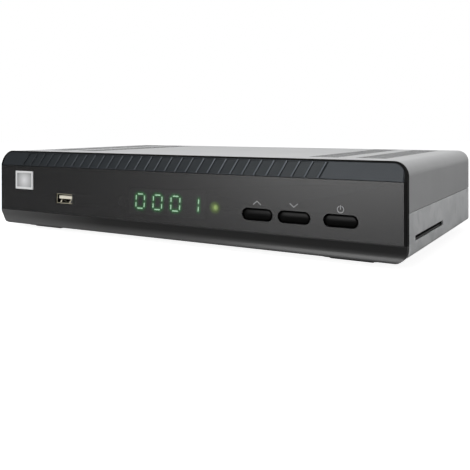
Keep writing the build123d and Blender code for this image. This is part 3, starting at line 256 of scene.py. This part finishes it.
def tray_zinc():
    """Hot-dip galvanised steel, rolled: dull metal with faint spangles a few millimetres wide."""
    material, shader = surface("galvanised steel sheet", "#e8e9ea", Metallic=0.8, Roughness=0.38)
    tree = material.node_tree
    cells = add(tree, "ShaderNodeTexVoronoi", {"Vector": place_of(tree), "Scale": 1 / (SPANGLE * MM)})
    grey = add(tree, "ShaderNodeRGBToBW", {"Color": cells.outputs["Color"]})
    ramp = add(tree, "ShaderNodeValToRGB", {"Fac": grey.outputs["Val"]})
    set_stops(ramp, (0.0, "#e6e8e9"), (1.0, "#f4f5f6"))
    tree.links.new(ramp.outputs["Color"], shader.inputs["Base Color"])
    rough = add(tree, "ShaderNodeMapRange", {"Value": grey.outputs["Val"], "To Min": 0.36,
                                             "To Max": 0.5})
    tree.links.new(rough.outputs["Result"], shader.inputs["Roughness"])
    grain(material, shader, size=0.8, depth=0.004, edge=0.3)
    return material


def plain(name, colour, metallic=0.0, roughness=0.5, size=0.5, depth=0.01, edge=0.15, **sockets):
    """A finish of one colour with fine relief and slightly uneven gloss."""
    material, shader = surface(name, colour, Metallic=metallic, **sockets)
    grain(material, shader, size, depth, edge)
    mottle(material, shader, (roughness * 0.9, roughness * 1.1), size=6, socket="Roughness")
    return material


def board_laminate():
    """Glass-epoxy board under green solder mask, printed: copper tracks show as paler lines."""
    material, shader = surface("solder-masked glass epoxy", "#1f6b3a", Roughness=0.3)
    tree = material.node_tree
    tracks = add(tree, "ShaderNodeTexVoronoi",
                 {"Vector": place_of(tree), "Scale": 1 / (TRACK_SPACING * MM)}, distance="CHEBYCHEV")
    ramp = add(tree, "ShaderNodeValToRGB", {"Fac": tracks.outputs["Distance"]})
    ramp.color_ramp.interpolation = "CONSTANT"
    set_stops(ramp, (0.0, "#1d5f35"), (0.42, "#2c8a4e"))
    tree.links.new(ramp.outputs["Color"], shader.inputs["Base Color"])
    grain(material, shader, size=0.6, depth=0.01)
    return material


def painted_lamp_halo(tree, shader):
    """Painted olive glow round the status lamp, standing in for the light it scatters: it fades with
    the distance from the lamp's axis at the rear face of the window panel."""
    middle = np.mean(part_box("status_led"), axis=0)
    middle[1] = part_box("front_lens")[1][1]
    stretch = np.array([1, HALO_SQUASH, 1])
    centred = add(tree, "ShaderNodeMapping", {
        "Vector": add(tree, "ShaderNodeTexCoord").outputs["Object"],
        "Location": (-middle * stretch).tolist(), "Scale": stretch.tolist()}, vector_type="POINT")
    far = add(tree, "ShaderNodeVectorMath", {0: centred.outputs["Vector"]}, operation="LENGTH")
    share = add(tree, "ShaderNodeMath", {0: far.outputs["Value"], 1: 1 / (HALO_RADIUS * MM)},
                operation="MULTIPLY")
    ramp = add(tree, "ShaderNodeValToRGB", {"Fac": share.outputs["Value"]})
    set_stops(ramp, (0.0, "#7c9152"), (0.25, "#6a7c42"), (0.5, "#3e5212"), (1.0, "#000000"))
    tree.links.new(ramp.outputs["Color"], shader.inputs["Emission Color"])
    shader.inputs["Emission Strength"].default_value = LAMP_HALO_LIGHT


def lens_acrylic():
    """Smoked acrylic sheet, cast and polished: deep gloss over a dark tint that only lit things
    shine through, with a painted olive glow round the lamp, standing in for the light the panel
    scatters."""
    material, shader = surface("smoked acrylic", "#070708", IOR=1.49, Roughness=0.38, Alpha=0.75)
    shader.inputs["Specular IOR Level"].default_value = 0.8
    painted_lamp_halo(material.node_tree, shader)
    return material


def front_moulding():
    """Moulded ABS: black and finely etched round the window panel, satin and a little paler on the
    chin.
    Over the chin a painted reflection pales it towards its lower lip, painted shade darkens it towards
    its crease under the window panel, and a painted sheen pales its left end; a painted glow of the
    status lamp lies on the moulding near the lamp."""
    material, shader = surface("moulded black ABS", "#050505", Roughness=0.28)
    shader.inputs["Specular IOR Level"].default_value = 0.22
    tree = material.node_tree
    axes = add(tree, "ShaderNodeSeparateXYZ", {"Vector": place_of(tree)})
    up = axes.outputs["Z"]
    (left, _, low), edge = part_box("front_bezel")[0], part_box("front_lens")[0][2]
    above = add(tree, "ShaderNodeMapRange", {"Value": up, "From Min": edge - CREASE_BAND * MM,
                                             "From Max": edge})
    # painted reflection and shade on the chin by height: palest at the lower lip, darkest by the crease
    # under the window panel, black above it
    rise = add(tree, "ShaderNodeMapRange", {"Value": up, "From Min": low, "From Max": edge})
    ramp = add(tree, "ShaderNodeValToRGB", {"Fac": rise.outputs["Result"]})
    set_stops(ramp, (0.0, "#484848"), (0.3, "#393939"), (0.55, "#242424"), (0.96, "#202020"),
              (1.0, "#050505"))
    # painted sheen paling the left end of the chin
    left_sheen = add(tree, "ShaderNodeMapRange", {"Value": axes.outputs["X"], "From Min": left,
                                            "From Max": left + SHEEN_REACH * MM, "To Min": 0.9,
                                            "To Max": 0.0})
    chin = add(tree, "ShaderNodeMath", {0: up, 1: edge - CREASE_BAND / 2 * MM}, operation="LESS_THAN")
    share = add(tree, "ShaderNodeMath", {0: left_sheen.outputs["Result"], 1: chin.outputs["Value"]},
                operation="MULTIPLY")
    colour = add(tree, "ShaderNodeMix", {"Factor": share.outputs["Value"], "A": ramp.outputs["Color"],
                                         "B": linear("#505050")}, data_type="RGBA")
    tree.links.new(colour.outputs["Result"], shader.inputs["Base Color"])
    rough = add(tree, "ShaderNodeMapRange", {"Value": above.outputs["Result"], "To Min": 0.27,
                                             "To Max": 0.85})
    tree.links.new(rough.outputs["Result"], shader.inputs["Roughness"])
    grain(material, shader, size=0.35, depth=0.004)
    # painted glow of the status lamp on the moulding round it
    painted_lamp_halo(tree, shader)
    return material


def badge_foil():
    """Embossed aluminium foil, brushed: fine upright strokes, a painted highlight that is palest in the
    middle and darkens outwards, and a pale rim.
    """
    material, shader = surface("embossed aluminium foil", "#d6d7d8", Metallic=0.3, Roughness=0.4)
    tree = material.node_tree
    low, high = (np.array(corner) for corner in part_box("badge_plate"))
    middle, size = (low + high) / 2, high - low
    where = add(tree, "ShaderNodeTexCoord").outputs["Object"]
    centred = add(tree, "ShaderNodeMapping", {"Vector": where, "Location": -middle},
                  vector_type="POINT")
    axes = add(tree, "ShaderNodeSeparateXYZ", {"Vector": centred.outputs["Vector"]})
    far = add(tree, "ShaderNodeVectorMath", {0: centred.outputs["Vector"]}, operation="LENGTH")
    share = add(tree, "ShaderNodeMath", {0: far.outputs["Value"], 1: 1 / (BADGE_HIGHLIGHT_REACH * MM)},
                operation="MULTIPLY")
    # painted highlight: palest in the middle of the badge, darkening outwards
    ramp = add(tree, "ShaderNodeValToRGB", {"Fac": share.outputs["Value"]})
    set_stops(ramp, (0.0, "#dcddde"), (1.0, "#858687"))
    reach = []
    for axis, length in (("X", size[0]), ("Z", size[2])):
        away = add(tree, "ShaderNodeMath", {0: axes.outputs[axis]}, operation="ABSOLUTE")
        past = add(tree, "ShaderNodeMath", {0: away.outputs["Value"], 1: length / 2 - BADGE_RIM * MM},
                   operation="GREATER_THAN")
        reach.append(past.outputs["Value"])
    on_rim = add(tree, "ShaderNodeMath", {0: reach[0], 1: reach[1]}, operation="MAXIMUM")
    colour = add(tree, "ShaderNodeMix", {"Factor": on_rim.outputs["Value"], "A": ramp.outputs["Color"],
                                         "B": linear("#dadbdb")}, data_type="RGBA")
    tree.links.new(colour.outputs["Result"], shader.inputs["Base Color"])
    grain(material, shader, size=0.3, depth=0.01, stretch=(3, 1, 0.2))
    return material


def strip_lacquer():
    """Slate lacquer with metal flake on ABS, with painted shading from a point attribute of the band,
    nought
    to one: painted shade in the facets and towards the left end, painted highlight along the narrow
    lands."""
    material, shader = surface("slate lacquer on ABS", "#2e3236", Metallic=0.35)
    tree = material.node_tree
    painted_shading = add(tree, "ShaderNodeAttribute", attribute_name="painted_shading").outputs["Fac"]
    ramp = add(tree, "ShaderNodeValToRGB", {"Fac": painted_shading})
    set_stops(ramp, (0.0, "#282c2f"), (0.5, "#2e3236"), (1.0, "#464b51"))
    tree.links.new(ramp.outputs["Color"], shader.inputs["Base Color"])
    grain(material, shader, size=0.5, depth=0.01)
    mottle(material, shader, (0.3, 0.36), size=6, socket="Roughness")
    return material


def glow_card():
    """Matte card behind the lit bars, printed black, with a painted dark green glow round each lit bar
    that stands in for their scattered light.
    """
    material, shader = surface("matte black card", "#050606", Roughness=0.7)
    shader.inputs["Specular IOR Level"].default_value = 0.1
    tree = material.node_tree
    near = add(tree, "ShaderNodeAttribute", attribute_name="glow").outputs["Fac"]
    ramp = add(tree, "ShaderNodeValToRGB", {"Fac": near})
    set_stops(ramp, (0.0, "#000000"), (1.0, "#0c9a3c"))
    tree.links.new(ramp.outputs["Color"], shader.inputs["Emission Color"])
    shader.inputs["Emission Strength"].default_value = BAR_HALO_LIGHT
    grain(material, shader, size=0.3, depth=0.005)
    return material


def shell_nickel():
    """Nickel-plated steel sheet, stamped: bright on the mouth of the socket, with painted shade making
    it dark in its depth.
    """
    material, shader = surface("nickel-plated steel sheet", "#c9c7c0", Metallic=0.5, Roughness=0.35)
    tree = material.node_tree
    axes = add(tree, "ShaderNodeSeparateXYZ", {"Vector": place_of(tree)})
    face = millimetres("usb_shell")[0][1]
    mouth = inside(tree, axes, {"Y": (face - MOUTH_DEPTH, face + MOUTH_LIP)})
    # painted shade in the depth of the socket, the bright plated metal at its mouth
    colour = add(tree, "ShaderNodeMix", {"Factor": mouth, "A": linear("#1d1c19"),
                                         "B": linear("#cfc9b2")}, data_type="RGBA")
    tree.links.new(colour.outputs["Result"], shader.inputs["Base Color"])
    grain(material, shader, size=0.4, depth=0.005)
    return material


def make_materials():
    """One finish for each slot of the record."""
    return {
        "cover_paint": cover_paint(),
        "tray_zinc": tray_zinc(),
        "panel_paint": plain("powder-coated steel panel", "#2a2b2c", roughness=0.5, size=0.9),
        "screw_steel": plain("blackened steel screw", "#3a3b3c", metallic=1.0, roughness=0.4),
        "zinc_screw": plain("zinc-plated steel screw", "#b4b6b8", metallic=1.0, roughness=0.35),
        "foot_plastic": plain("moulded polypropylene", "#1b1b1c", roughness=0.6),
        "pad_rubber": plain("moulded rubber", "#161616", roughness=0.85),
        "bezel_plastic": front_moulding(),
        "lens_acrylic": lens_acrylic(),
        "strip_plastic": strip_lacquer(),
        "badge_metal": badge_foil(),
        "key_plastic": plain("polished black ABS", "#040404", roughness=0.24, size=2.0, depth=0.002,
                             Specular_IOR_Level=0.07),
        "print_ink": plain("screen-printed ink", "#8c8d8e", roughness=0.6),
        "switch_plastic": plain("moulded nylon", "#202022", roughness=0.55),
        "plunger_plastic": plain("moulded acetal", "#8c2b22", roughness=0.45),
        "display_plastic": plain("matte polycarbonate", "#050606", roughness=0.7,
                                 Specular_IOR_Level=0.1),
        "lit_bar": plain("lit green diffuser", "#a8e6b0", roughness=0.4,
                         Emission_Color=linear("#c2efca"), Emission_Strength=BAR_LIGHT),
        "dark_bar": plain("unlit green diffuser", "#0c150f", roughness=0.4),
        "lamp_plastic": plain("lit epoxy lamp", "#b7e24c", roughness=0.3,
                              Emission_Color=linear("#b6d870"), Emission_Strength=LAMP_LIGHT),
        "eye_plastic": plain("dark red epoxy", "#0a0608", roughness=0.4),
        "board_laminate": board_laminate(),
        "nickel": plain("nickel-plated brass", "#c9c7c0", metallic=1.0, roughness=0.22),
        "tongue_plastic": plain("moulded liquid-crystal polymer", "#d9d5c4", roughness=0.5),
        "gold": plain("gold-plated phosphor bronze", "#d8b45a", metallic=1.0, roughness=0.3),
        "chip_plastic": plain("moulded epoxy", "#26272a", roughness=0.6),
        "sink_aluminium": plain("black anodised aluminium", "#2e3033", metallic=1.0, roughness=0.45),
        "can_sleeve": plain("shrunk PVC sleeve", "#23262b", roughness=0.35),
        "coil_ferrite": plain("sintered ferrite", "#2b2b2d", roughness=0.7),
        "tin_plate": plain("tin-plated steel", "#bfc1c3", metallic=1.0, roughness=0.35),
        "white_plastic": plain("moulded white nylon", "#e6e5e0", roughness=0.5),
        "black_plastic": plain("moulded black nylon", "#18181a", roughness=0.5),
        "orange_plastic": plain("moulded orange PVC", "#c8611f", roughness=0.45),
        "ribbon_film": plain("polyester film", "#d8d9dc", roughness=0.4),
        "glow card": glow_card(),
        "shell nickel": shell_nickel(),
        "spring steel": plain("nickel-plated spring steel", "#e0dac6", metallic=0.4, roughness=0.4),
    }


def dress(frame, materials):
    """Give every solid the finish of its slot.  The front socket's shell gets painted shade in its
    depth.
    """
    for row in frame["record"]["subparts"]:
        solid = frame["nodes"][row["node"]]
        finish = "shell nickel" if row["node"] == "usb_shell" else row["material_slot"]
        for held in solid.material_slots:
            held.material = materials[finish]


# ------------------------------------------------------------------ pieces
def piece_of(name, points, faces, material, body="case", crease=35.0):
    """A mesh piece from points in millimetres.  Edges sharper than the crease angle stay sharp."""
    data = bpy.data.meshes.new(name)
    data.from_pydata((np.asarray(points) * MM).tolist(), [], faces)
    data.validate()
    data.shade_smooth()
    data.set_sharp_from_angle(angle=math.radians(crease))
    data.materials.append(material)
    piece = bpy.data.objects.new(name, data)
    bpy.context.scene.collection.objects.link(piece)
    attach(piece, body)
    return piece


def loft(loops):
    """Skin over closed loops of equally many points: quads from loop to loop, and a cap on each end.
    Returns points and faces."""
    loops = np.asarray(loops)
    rows, columns = loops.shape[:2]
    index = np.arange(rows * columns).reshape(rows, columns)
    beside = np.roll(index, -1, 1)
    quads = np.stack([index[:-1], index[1:], beside[1:], beside[:-1]], 2).reshape(-1, 4)
    faces = quads.tolist() + [index[0].tolist(), index[-1, ::-1].tolist()]
    return loops.reshape(-1, 3), faces


def millimetres(node):
    """Lowest and highest corner of a solid, in millimetres."""
    return [np.array(corner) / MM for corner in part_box(node)]


def ribbed_strip(material):
    """Band over the window panel, leaning back by an even slope.  Columns of points lean sideways with
    the ribs.  Across a rib the depth is a sawtooth: a wall falls to RIB_DEPTH, the facet rises evenly
    to RIB_FACET, and a rounded land stands over it.  The left and right ends follow the corner of the
    front, and a bevel runs round the whole band."""
    (x0, face, z0), (x1, back, z1) = millimetres("trim_strip")
    right = millimetres("front_bezel")[1][0]
    radius = CORNER - (right - x1)
    slope = (back - STRIP_THICKNESS - face) / (z1 - z0)

    last = right - RIB_RIGHT_IN - RIB_SLANT
    count = int((last + right - RIB_LEFT_IN) / RIB_PITCH)
    first = last - count * RIB_PITCH
    # one rib: place along it and depth, from wall to wall
    rib = [(0.0, 0.0), (RIB_WALL, RIB_DEPTH), (RIB_FLOOR, RIB_DEPTH),
           (RIB_PITCH - RIB_LAND - 0.15, RIB_FACET),
           (RIB_PITCH - RIB_LAND, 0.08), (RIB_PITCH - RIB_LAND + 0.2, 0.0),
           (RIB_PITCH - 0.45, 0.02), (RIB_PITCH - 0.1, 0.1)]
    steps, depths = np.array(rib).T
    # painted shading across a rib: shade in the wall, floor and facet, highlight on the land
    rib_painted_shading = np.array([0, 0, 0, 0, 1.0, 1.0, 1.0, 0.6])
    tops = (first + RIB_PITCH * np.arange(count)[:, None] + steps).ravel()
    tops = np.append(tops, last + np.array([0, RIB_WALL, RIB_FLOOR, RIB_LAND]))
    depths = np.append(np.tile(depths, count), [0.0, RIB_DEPTH, RIB_DEPTH, 0.0])

    def crest_over(places):
        """Height of the band's top over places along X, round the corner at either end."""
        past = np.maximum(np.abs(places) - (x1 - radius), 0)
        return z1 - radius + np.sqrt(np.maximum(radius ** 2 - past ** 2, 0))

    turn = np.linspace(0, 1, 15)[1:] * math.pi / 2
    bow = radius * np.sin(turn)
    left_end = (x0 + radius - bow)[::-1]
    plain_left = np.linspace(x0 + radius, first, 4)[:-1]
    plain_right = np.linspace(last + RIB_LAND + 0.3, x1 - radius, 6)
    base = np.concatenate([left_end, plain_left, tops, plain_right, x1 - radius + bow])
    relief, painted_shading = np.zeros(len(base)), np.full(len(base), 0.5)
    start = len(left_end) + len(plain_left)
    relief[start:start + len(depths)] = depths
    painted_shading[start:start + len(depths)] = np.append(np.tile(rib_painted_shading, count), [0.5, 0, 0, 0.5])
    # sideways lean: full along the ribs, fading over the plain stretches
    lean = np.interp(base, [x0 + radius, first, last + RIB_LAND, x1 - radius],
                     [0, RIB_SLANT, RIB_SLANT, 0])
    crest = crest_over(base + lean)
    span = z1 - z0
    share = np.array([0, EDGE / span, RAIL / span, (RAIL + RAIL_STEP) / span, 0.5,
                      1 - (RAIL + RAIL_STEP) / span, 1 - RAIL / span, 1 - EDGE / span, 1])
    cut = np.array([0, 0, 0, 1, 1, 1, 0, 0, 0])
    edge = np.array([EDGE, 0, 0, 0, 0, 0, 0, 0, EDGE])
    side = EDGE * np.clip((np.abs(base + lean) - x1 + 2 * EDGE) / EDGE, 0, 1)
    rise = share * (crest - z0)[:, None]
    xs = base[:, None] + lean[:, None] * share
    ys = face + slope * rise + np.maximum(cut * relief[:, None], np.maximum(edge, side[:, None]))
    front = np.stack([xs, ys, z0 + rise], 2)
    rear = front[:, [-1, 0]]
    rear[..., 1] = face + slope * rise[:, [-1, 0]] + STRIP_THICKNESS
    points, faces = loft(np.concatenate([front, rear], 1))
    piece = piece_of("ribbed_strip", points, faces, material, crease=25)
    # painted shade darkens the band towards its left end, and the contrast of the painted shading on
    # its ribs fades that way too
    painted_shadings = np.tile(np.interp(base, [x0, x0 + LEFT_SHADE_REACH], [0.0, 0.5])[:, None], (1, len(share) + 2))
    fade = np.clip(0.2 + 1.3 * (base - x0) / (x1 - x0), 0, 1)
    painted_shadings[:, 3:6] += ((painted_shading - 0.5) * fade)[:, None]
    held = piece.data.attributes.new("painted_shading", "FLOAT", "POINT")
    held.data.foreach_set("value", painted_shadings.ravel().astype(np.float32))
    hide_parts("trim_strip")


def obround(width, height, inset, steps=12):
    """Outline of a slot in X and Z, drawn in by an inset, counter-clockwise seen from the front."""
    radius = height / 2 - inset
    turn = np.linspace(-math.pi / 2, math.pi / 2, steps)
    x = width / 2 - height / 2 + radius * np.cos(turn)
    z = radius * np.sin(turn)
    return np.concatenate([np.stack([x, z], 1), np.stack([-x, -z], 1)])


def button_cap(name, material):
    """Button with an obround face: flange, shaft, an edge that rounds over by CROWN, and a face that
    swells a little more towards its middle, as a stack of drawn-in outlines."""
    (x0, y0, z0), (x1, y1, z1) = millimetres(name)
    middle = np.array([(x0 + x1) / 2, 0, (z0 + z1) / 2])
    width, height = x1 - x0 - 2 * KEY_FLANGE, z1 - z0 - 2 * KEY_FLANGE
    turn = np.linspace(0, math.pi / 2, 7)
    step = y1 - KEY_FLANGE_THICKNESS
    profile = [(-KEY_FLANGE, y1), (-KEY_FLANGE, step), (0, step)]
    profile += [(CROWN * (1 - math.cos(t)), y0 + KEY_SWELL + CROWN * (1 - math.sin(t))) for t in turn]
    profile += [(CROWN + 0.6, y0 + KEY_SWELL / 3), (height / 2 - 0.15, y0)]
    loops = []
    for inset, y in profile:
        outline = obround(width, height, inset)
        loops.append(np.stack([outline[:, 0], np.full(len(outline), y), outline[:, 1]], 1) + middle)
    points, faces = loft(loops)
    piece = piece_of(name + "_cap", points, faces, material, body=name)
    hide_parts(name)


def glow_sheet(bars, material):
    """Thin card just before the display's face.  Its points lie on a grid, and each holds a painted
    glow of exp(-(d / GLOW_REACH)^2), where d is the distance to the nearest edge of a lit bar."""
    (x0, bars_front, z0), (x1, face, z1) = millimetres("display_dark_bars")
    front = bars_front + GLOW_FRONT
    columns, rows = GLOW_GRID
    x, z = np.meshgrid(np.linspace(x0 - GLOW_LEFT, x1 + GLOW_RIGHT, columns),
                       np.linspace(z0 - GLOW_TALL, z1 + GLOW_TALL, rows))
    flat = np.stack([x.ravel(), z.ravel()], 1)
    corners = np.array([vertex.co for vertex in bars.data.vertices])[:, [0, 2]] / MM
    ends = corners[np.array([edge.vertices for edge in bars.data.edges])]
    start, run = ends[:, 0], ends[:, 1] - ends[:, 0]
    length = np.maximum((run ** 2).sum(1), 1e-6)
    share = np.clip(((flat[:, None] - start) * run).sum(2) / length, 0, 1)
    far = np.linalg.norm(flat[:, None] - start - share[..., None] * run, axis=2).min(1)
    glow = np.exp(-(far / GLOW_REACH) ** 2)
    count = len(flat)
    points = np.concatenate([np.insert(flat, 1, front, 1), np.insert(flat, 1, face - GLOW_REAR, 1)])
    index = np.arange(count).reshape(x.shape)
    quads = np.stack([index[:-1, :-1], index[:-1, 1:], index[1:, 1:], index[1:, :-1]], 2).reshape(-1, 4)
    rim = np.concatenate([index[0, :-1], index[:-1, -1], index[-1, :0:-1], index[:0:-1, 0]])
    after = np.roll(rim, -1)
    wall = np.stack([rim, rim + count, after + count, after], 1)
    faces = np.concatenate([quads, quads[:, ::-1] + count, wall]).tolist()
    piece = piece_of("glow_sheet", points, faces, material)
    held = piece.data.attributes.new("glow", "FLOAT", "POINT")
    held.data.foreach_set("value", np.tile(glow, 2).astype(np.float32))


def socket_springs(material):
    """Two leaf springs on the floor of the front socket: each a strip bent up to a rounded crest, as a
    closed outline in Y and Z drawn along X."""
    (x0, y0, z0), (x1, *_) = millimetres("usb_shell")
    floor = z0 + SOCKET_FLOOR
    reach = np.linspace(0, 1, 9)
    top = np.stack([y0 + SPRING_FROM_MOUTH + SPRING_LENGTH * reach,
                    floor + 0.1 + SPRING_RISE * np.sin(math.pi * reach ** 0.6)], 1)
    outline = np.concatenate([top, (top - (0, SPRING_SHEET))[::-1]])
    for number, side in enumerate((-1, 1), 1):
        middle = (x0 + x1) / 2 + side * SPRING_SPACING / 2
        loops = [np.insert(outline, 0, middle + edge * SPRING_WIDTH / 2, 1) for edge in (-1, 1)]
        points, faces = loft(loops)
        piece_of(f"socket_spring_{number}", points, faces, material)


def aerial_connectors(material):
    """Hexagonal collar, neck and threaded barrel, bored from the rear.  The thread is a helix: the
    barrel's radius falls by THREAD_DEPTH times a triangle wave of the place along Y less the turn."""
    (x0, y0, z0), (x1, y1, z1) = millimetres("lnb_connectors")
    out, nut = millimetres("lnb_nuts")[0][1], millimetres("lnb_nuts")[1][1]
    inner, end = out - PANEL_SHEET, y1 - AERIAL_CHAMFER
    turn = np.linspace(0, 2 * math.pi, 36, endpoint=False)
    even = np.ones(len(turn))
    hexagon = AERIAL_FLATS / 2 / np.cos(turn % (math.pi / 3) - math.pi / 6)
    rings = [(y0, hexagon), (inner, hexagon), (inner, AERIAL_NECK * even), (nut, AERIAL_NECK * even)]
    for y in np.linspace(nut, end, THREAD_RINGS):
        phase = (y / THREAD_PITCH - turn / (2 * math.pi)) % 1
        fade = min(1, (y - nut) / THREAD_PITCH, (end - y) / THREAD_PITCH + 0.3)
        rings.append((y, AERIAL_RADIUS - THREAD_DEPTH * fade * np.abs(2 * phase - 1)))
    bore = ((y1, AERIAL_RADIUS - AERIAL_CHAMFER), (y1, AERIAL_BORE), (out, AERIAL_BORE))
    rings += [(y, radius * even) for y, radius in bore]
    middle, height = (x0 + x1) / 2, (z0 + z1) / 2
    points, faces = [], []
    for side in (-1, 1):
        loops = [np.stack([middle + side * AERIAL_SPACING / 2 + radius * np.cos(turn), y * even,
                           height + radius * np.sin(turn)], 1) for y, radius in rings]
        some, more = loft(loops)
        faces += [[corner + len(points) for corner in face] for face in more]
        points += some.tolist()
    piece = piece_of("threaded_connectors", points, faces, material, crease=40)
    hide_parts("lnb_connectors")


def make_pieces(frame, materials):
    """Pieces that stand for plainer solids, and small ones that the solids leave out."""
    ribbed_strip(materials["strip_plastic"])
    glow_sheet(frame["nodes"]["display_lit_bars"], materials["glow card"])
    socket_springs(materials["spring steel"])
    aerial_connectors(materials["nickel"])
    for name in ("up_button", "down_button", "power_button"):
        button_cap(name, materials["key_plastic"])


# ------------------------------------------------------------------ studio
def aim(thing, target):
    """Turn a lamp so that it shines on a point."""
    direction = np.array(target) - np.array(thing.location)
    yaw = math.atan2(-direction[0], direction[1])
    fall = math.atan2(math.hypot(*direction[:2]), -direction[2])
    thing.rotation_euler = (fall, 0, yaw)


def soft_lamp(name, place, target, size, power):
    """A rectangular soft lamp.  Places and sizes are in millimetres, power in watts."""
    data = bpy.data.lights.new(name, "AREA")
    data.shape = "RECTANGLE"
    data.size, data.size_y = size[0] * MM, size[1] * MM
    data.energy = power
    lamp = bpy.data.objects.new(name, data)
    bpy.context.scene.collection.objects.link(lamp)
    lamp.location = np.array(place) * MM
    aim(lamp, np.array(target) * MM)
    lamp.visible_camera = False


def make_floor():
    """Plain pale floor: a disc 4 m across, seen nearly white by the eye, that keeps its shadows."""
    turn = np.linspace(0, 2 * math.pi, 96, endpoint=False)
    corners = np.stack([FLOOR_RADIUS * np.cos(turn), FLOOR_RADIUS * np.sin(turn), 0 * turn], 1)
    data = bpy.data.meshes.new("floor")
    data.from_pydata(corners.tolist(), [], [list(range(len(turn)))])
    floor = bpy.data.objects.new("floor", data)
    bpy.context.scene.collection.objects.link(floor)
    material, shader = surface("matte white paper", "#9c9c9c", Roughness=0.9)
    tree = material.node_tree
    path = add(tree, "ShaderNodeLightPath")
    lift = add(tree, "ShaderNodeMapRange", {"Value": path.outputs["Is Camera Ray"], "To Min": 0.0,
                                            "To Max": FLOOR_LIFT})
    shader.inputs["Emission Color"].default_value = linear(WHITE)
    tree.links.new(lift.outputs["Result"], shader.inputs["Emission Strength"])
    data.materials.append(material)


def make_world():
    """White to the eye.  In gloss, a backdrop that is bright behind and falls off towards the front
    left, and for everything else an even grey."""
    world = bpy.data.worlds.new("studio")
    bpy.context.scene.world = world
    world.use_nodes = True
    tree = world.node_tree
    path = add(tree, "ShaderNodeLightPath")
    towards = add(tree, "ShaderNodeTexCoord").outputs["Generated"]
    facing = add(tree, "ShaderNodeVectorMath", {0: towards, 1: BACKDROP_AXIS}, operation="DOT_PRODUCT")
    gloss = add(tree, "ShaderNodeMapRange", {"Value": facing.outputs["Value"], "From Min": -1.0,
                                             "To Min": GLOSS_DARK, "To Max": GLOSS_BRIGHT},
                interpolation_type="SMOOTHSTEP")
    soft = add(tree, "ShaderNodeMix", {"Factor": path.outputs["Is Glossy Ray"], "A": FILL,
                                       "B": gloss.outputs["Result"]})
    level = add(tree, "ShaderNodeMath", {0: soft.outputs["Result"], 1: path.outputs["Is Camera Ray"]},
                operation="MAXIMUM")
    background = tree.nodes["Background"]
    background.inputs["Color"].default_value = linear(WHITE)
    tree.links.new(level.outputs["Value"], background.inputs["Strength"])


def make_camera():
    """The viewing angle: eye level a little over the top, turned towards the left."""
    data = bpy.data.cameras.new("camera")
    data.lens = FOCAL_LENGTH
    data.shift_y = SHIFT_Y
    data.clip_start = 0.01
    camera = bpy.data.objects.new("camera", data)
    bpy.context.scene.collection.objects.link(camera)
    face = millimetres("front_lens")[0][1]
    camera.location = (np.array(EYE) + (0, face, 0)) * MM
    turn = (Matrix.Rotation(math.radians(EYE_YAW), 3, "Z")
            @ Matrix.Rotation(math.radians(90 - EYE_PITCH), 3, "X")
            @ Matrix.Rotation(math.radians(EYE_ROLL), 3, "Z"))
    camera.rotation_euler = turn.to_euler()
    bpy.context.scene.camera = camera


def make_studio():
    """Floor, world, camera and soft lamps."""
    scene = bpy.context.scene
    scene.view_settings.view_transform = "Standard"
    make_floor()
    make_world()
    make_camera()
    for name, setting in LAMPS.items():
        soft_lamp(name, *setting)


# ------------------------------------------------------------------ main
def main():
    """Load the solids, dress them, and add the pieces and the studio."""
    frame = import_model()
    materials = make_materials()
    dress(frame, materials)
    make_pieces(frame, materials)
    make_studio()


main()
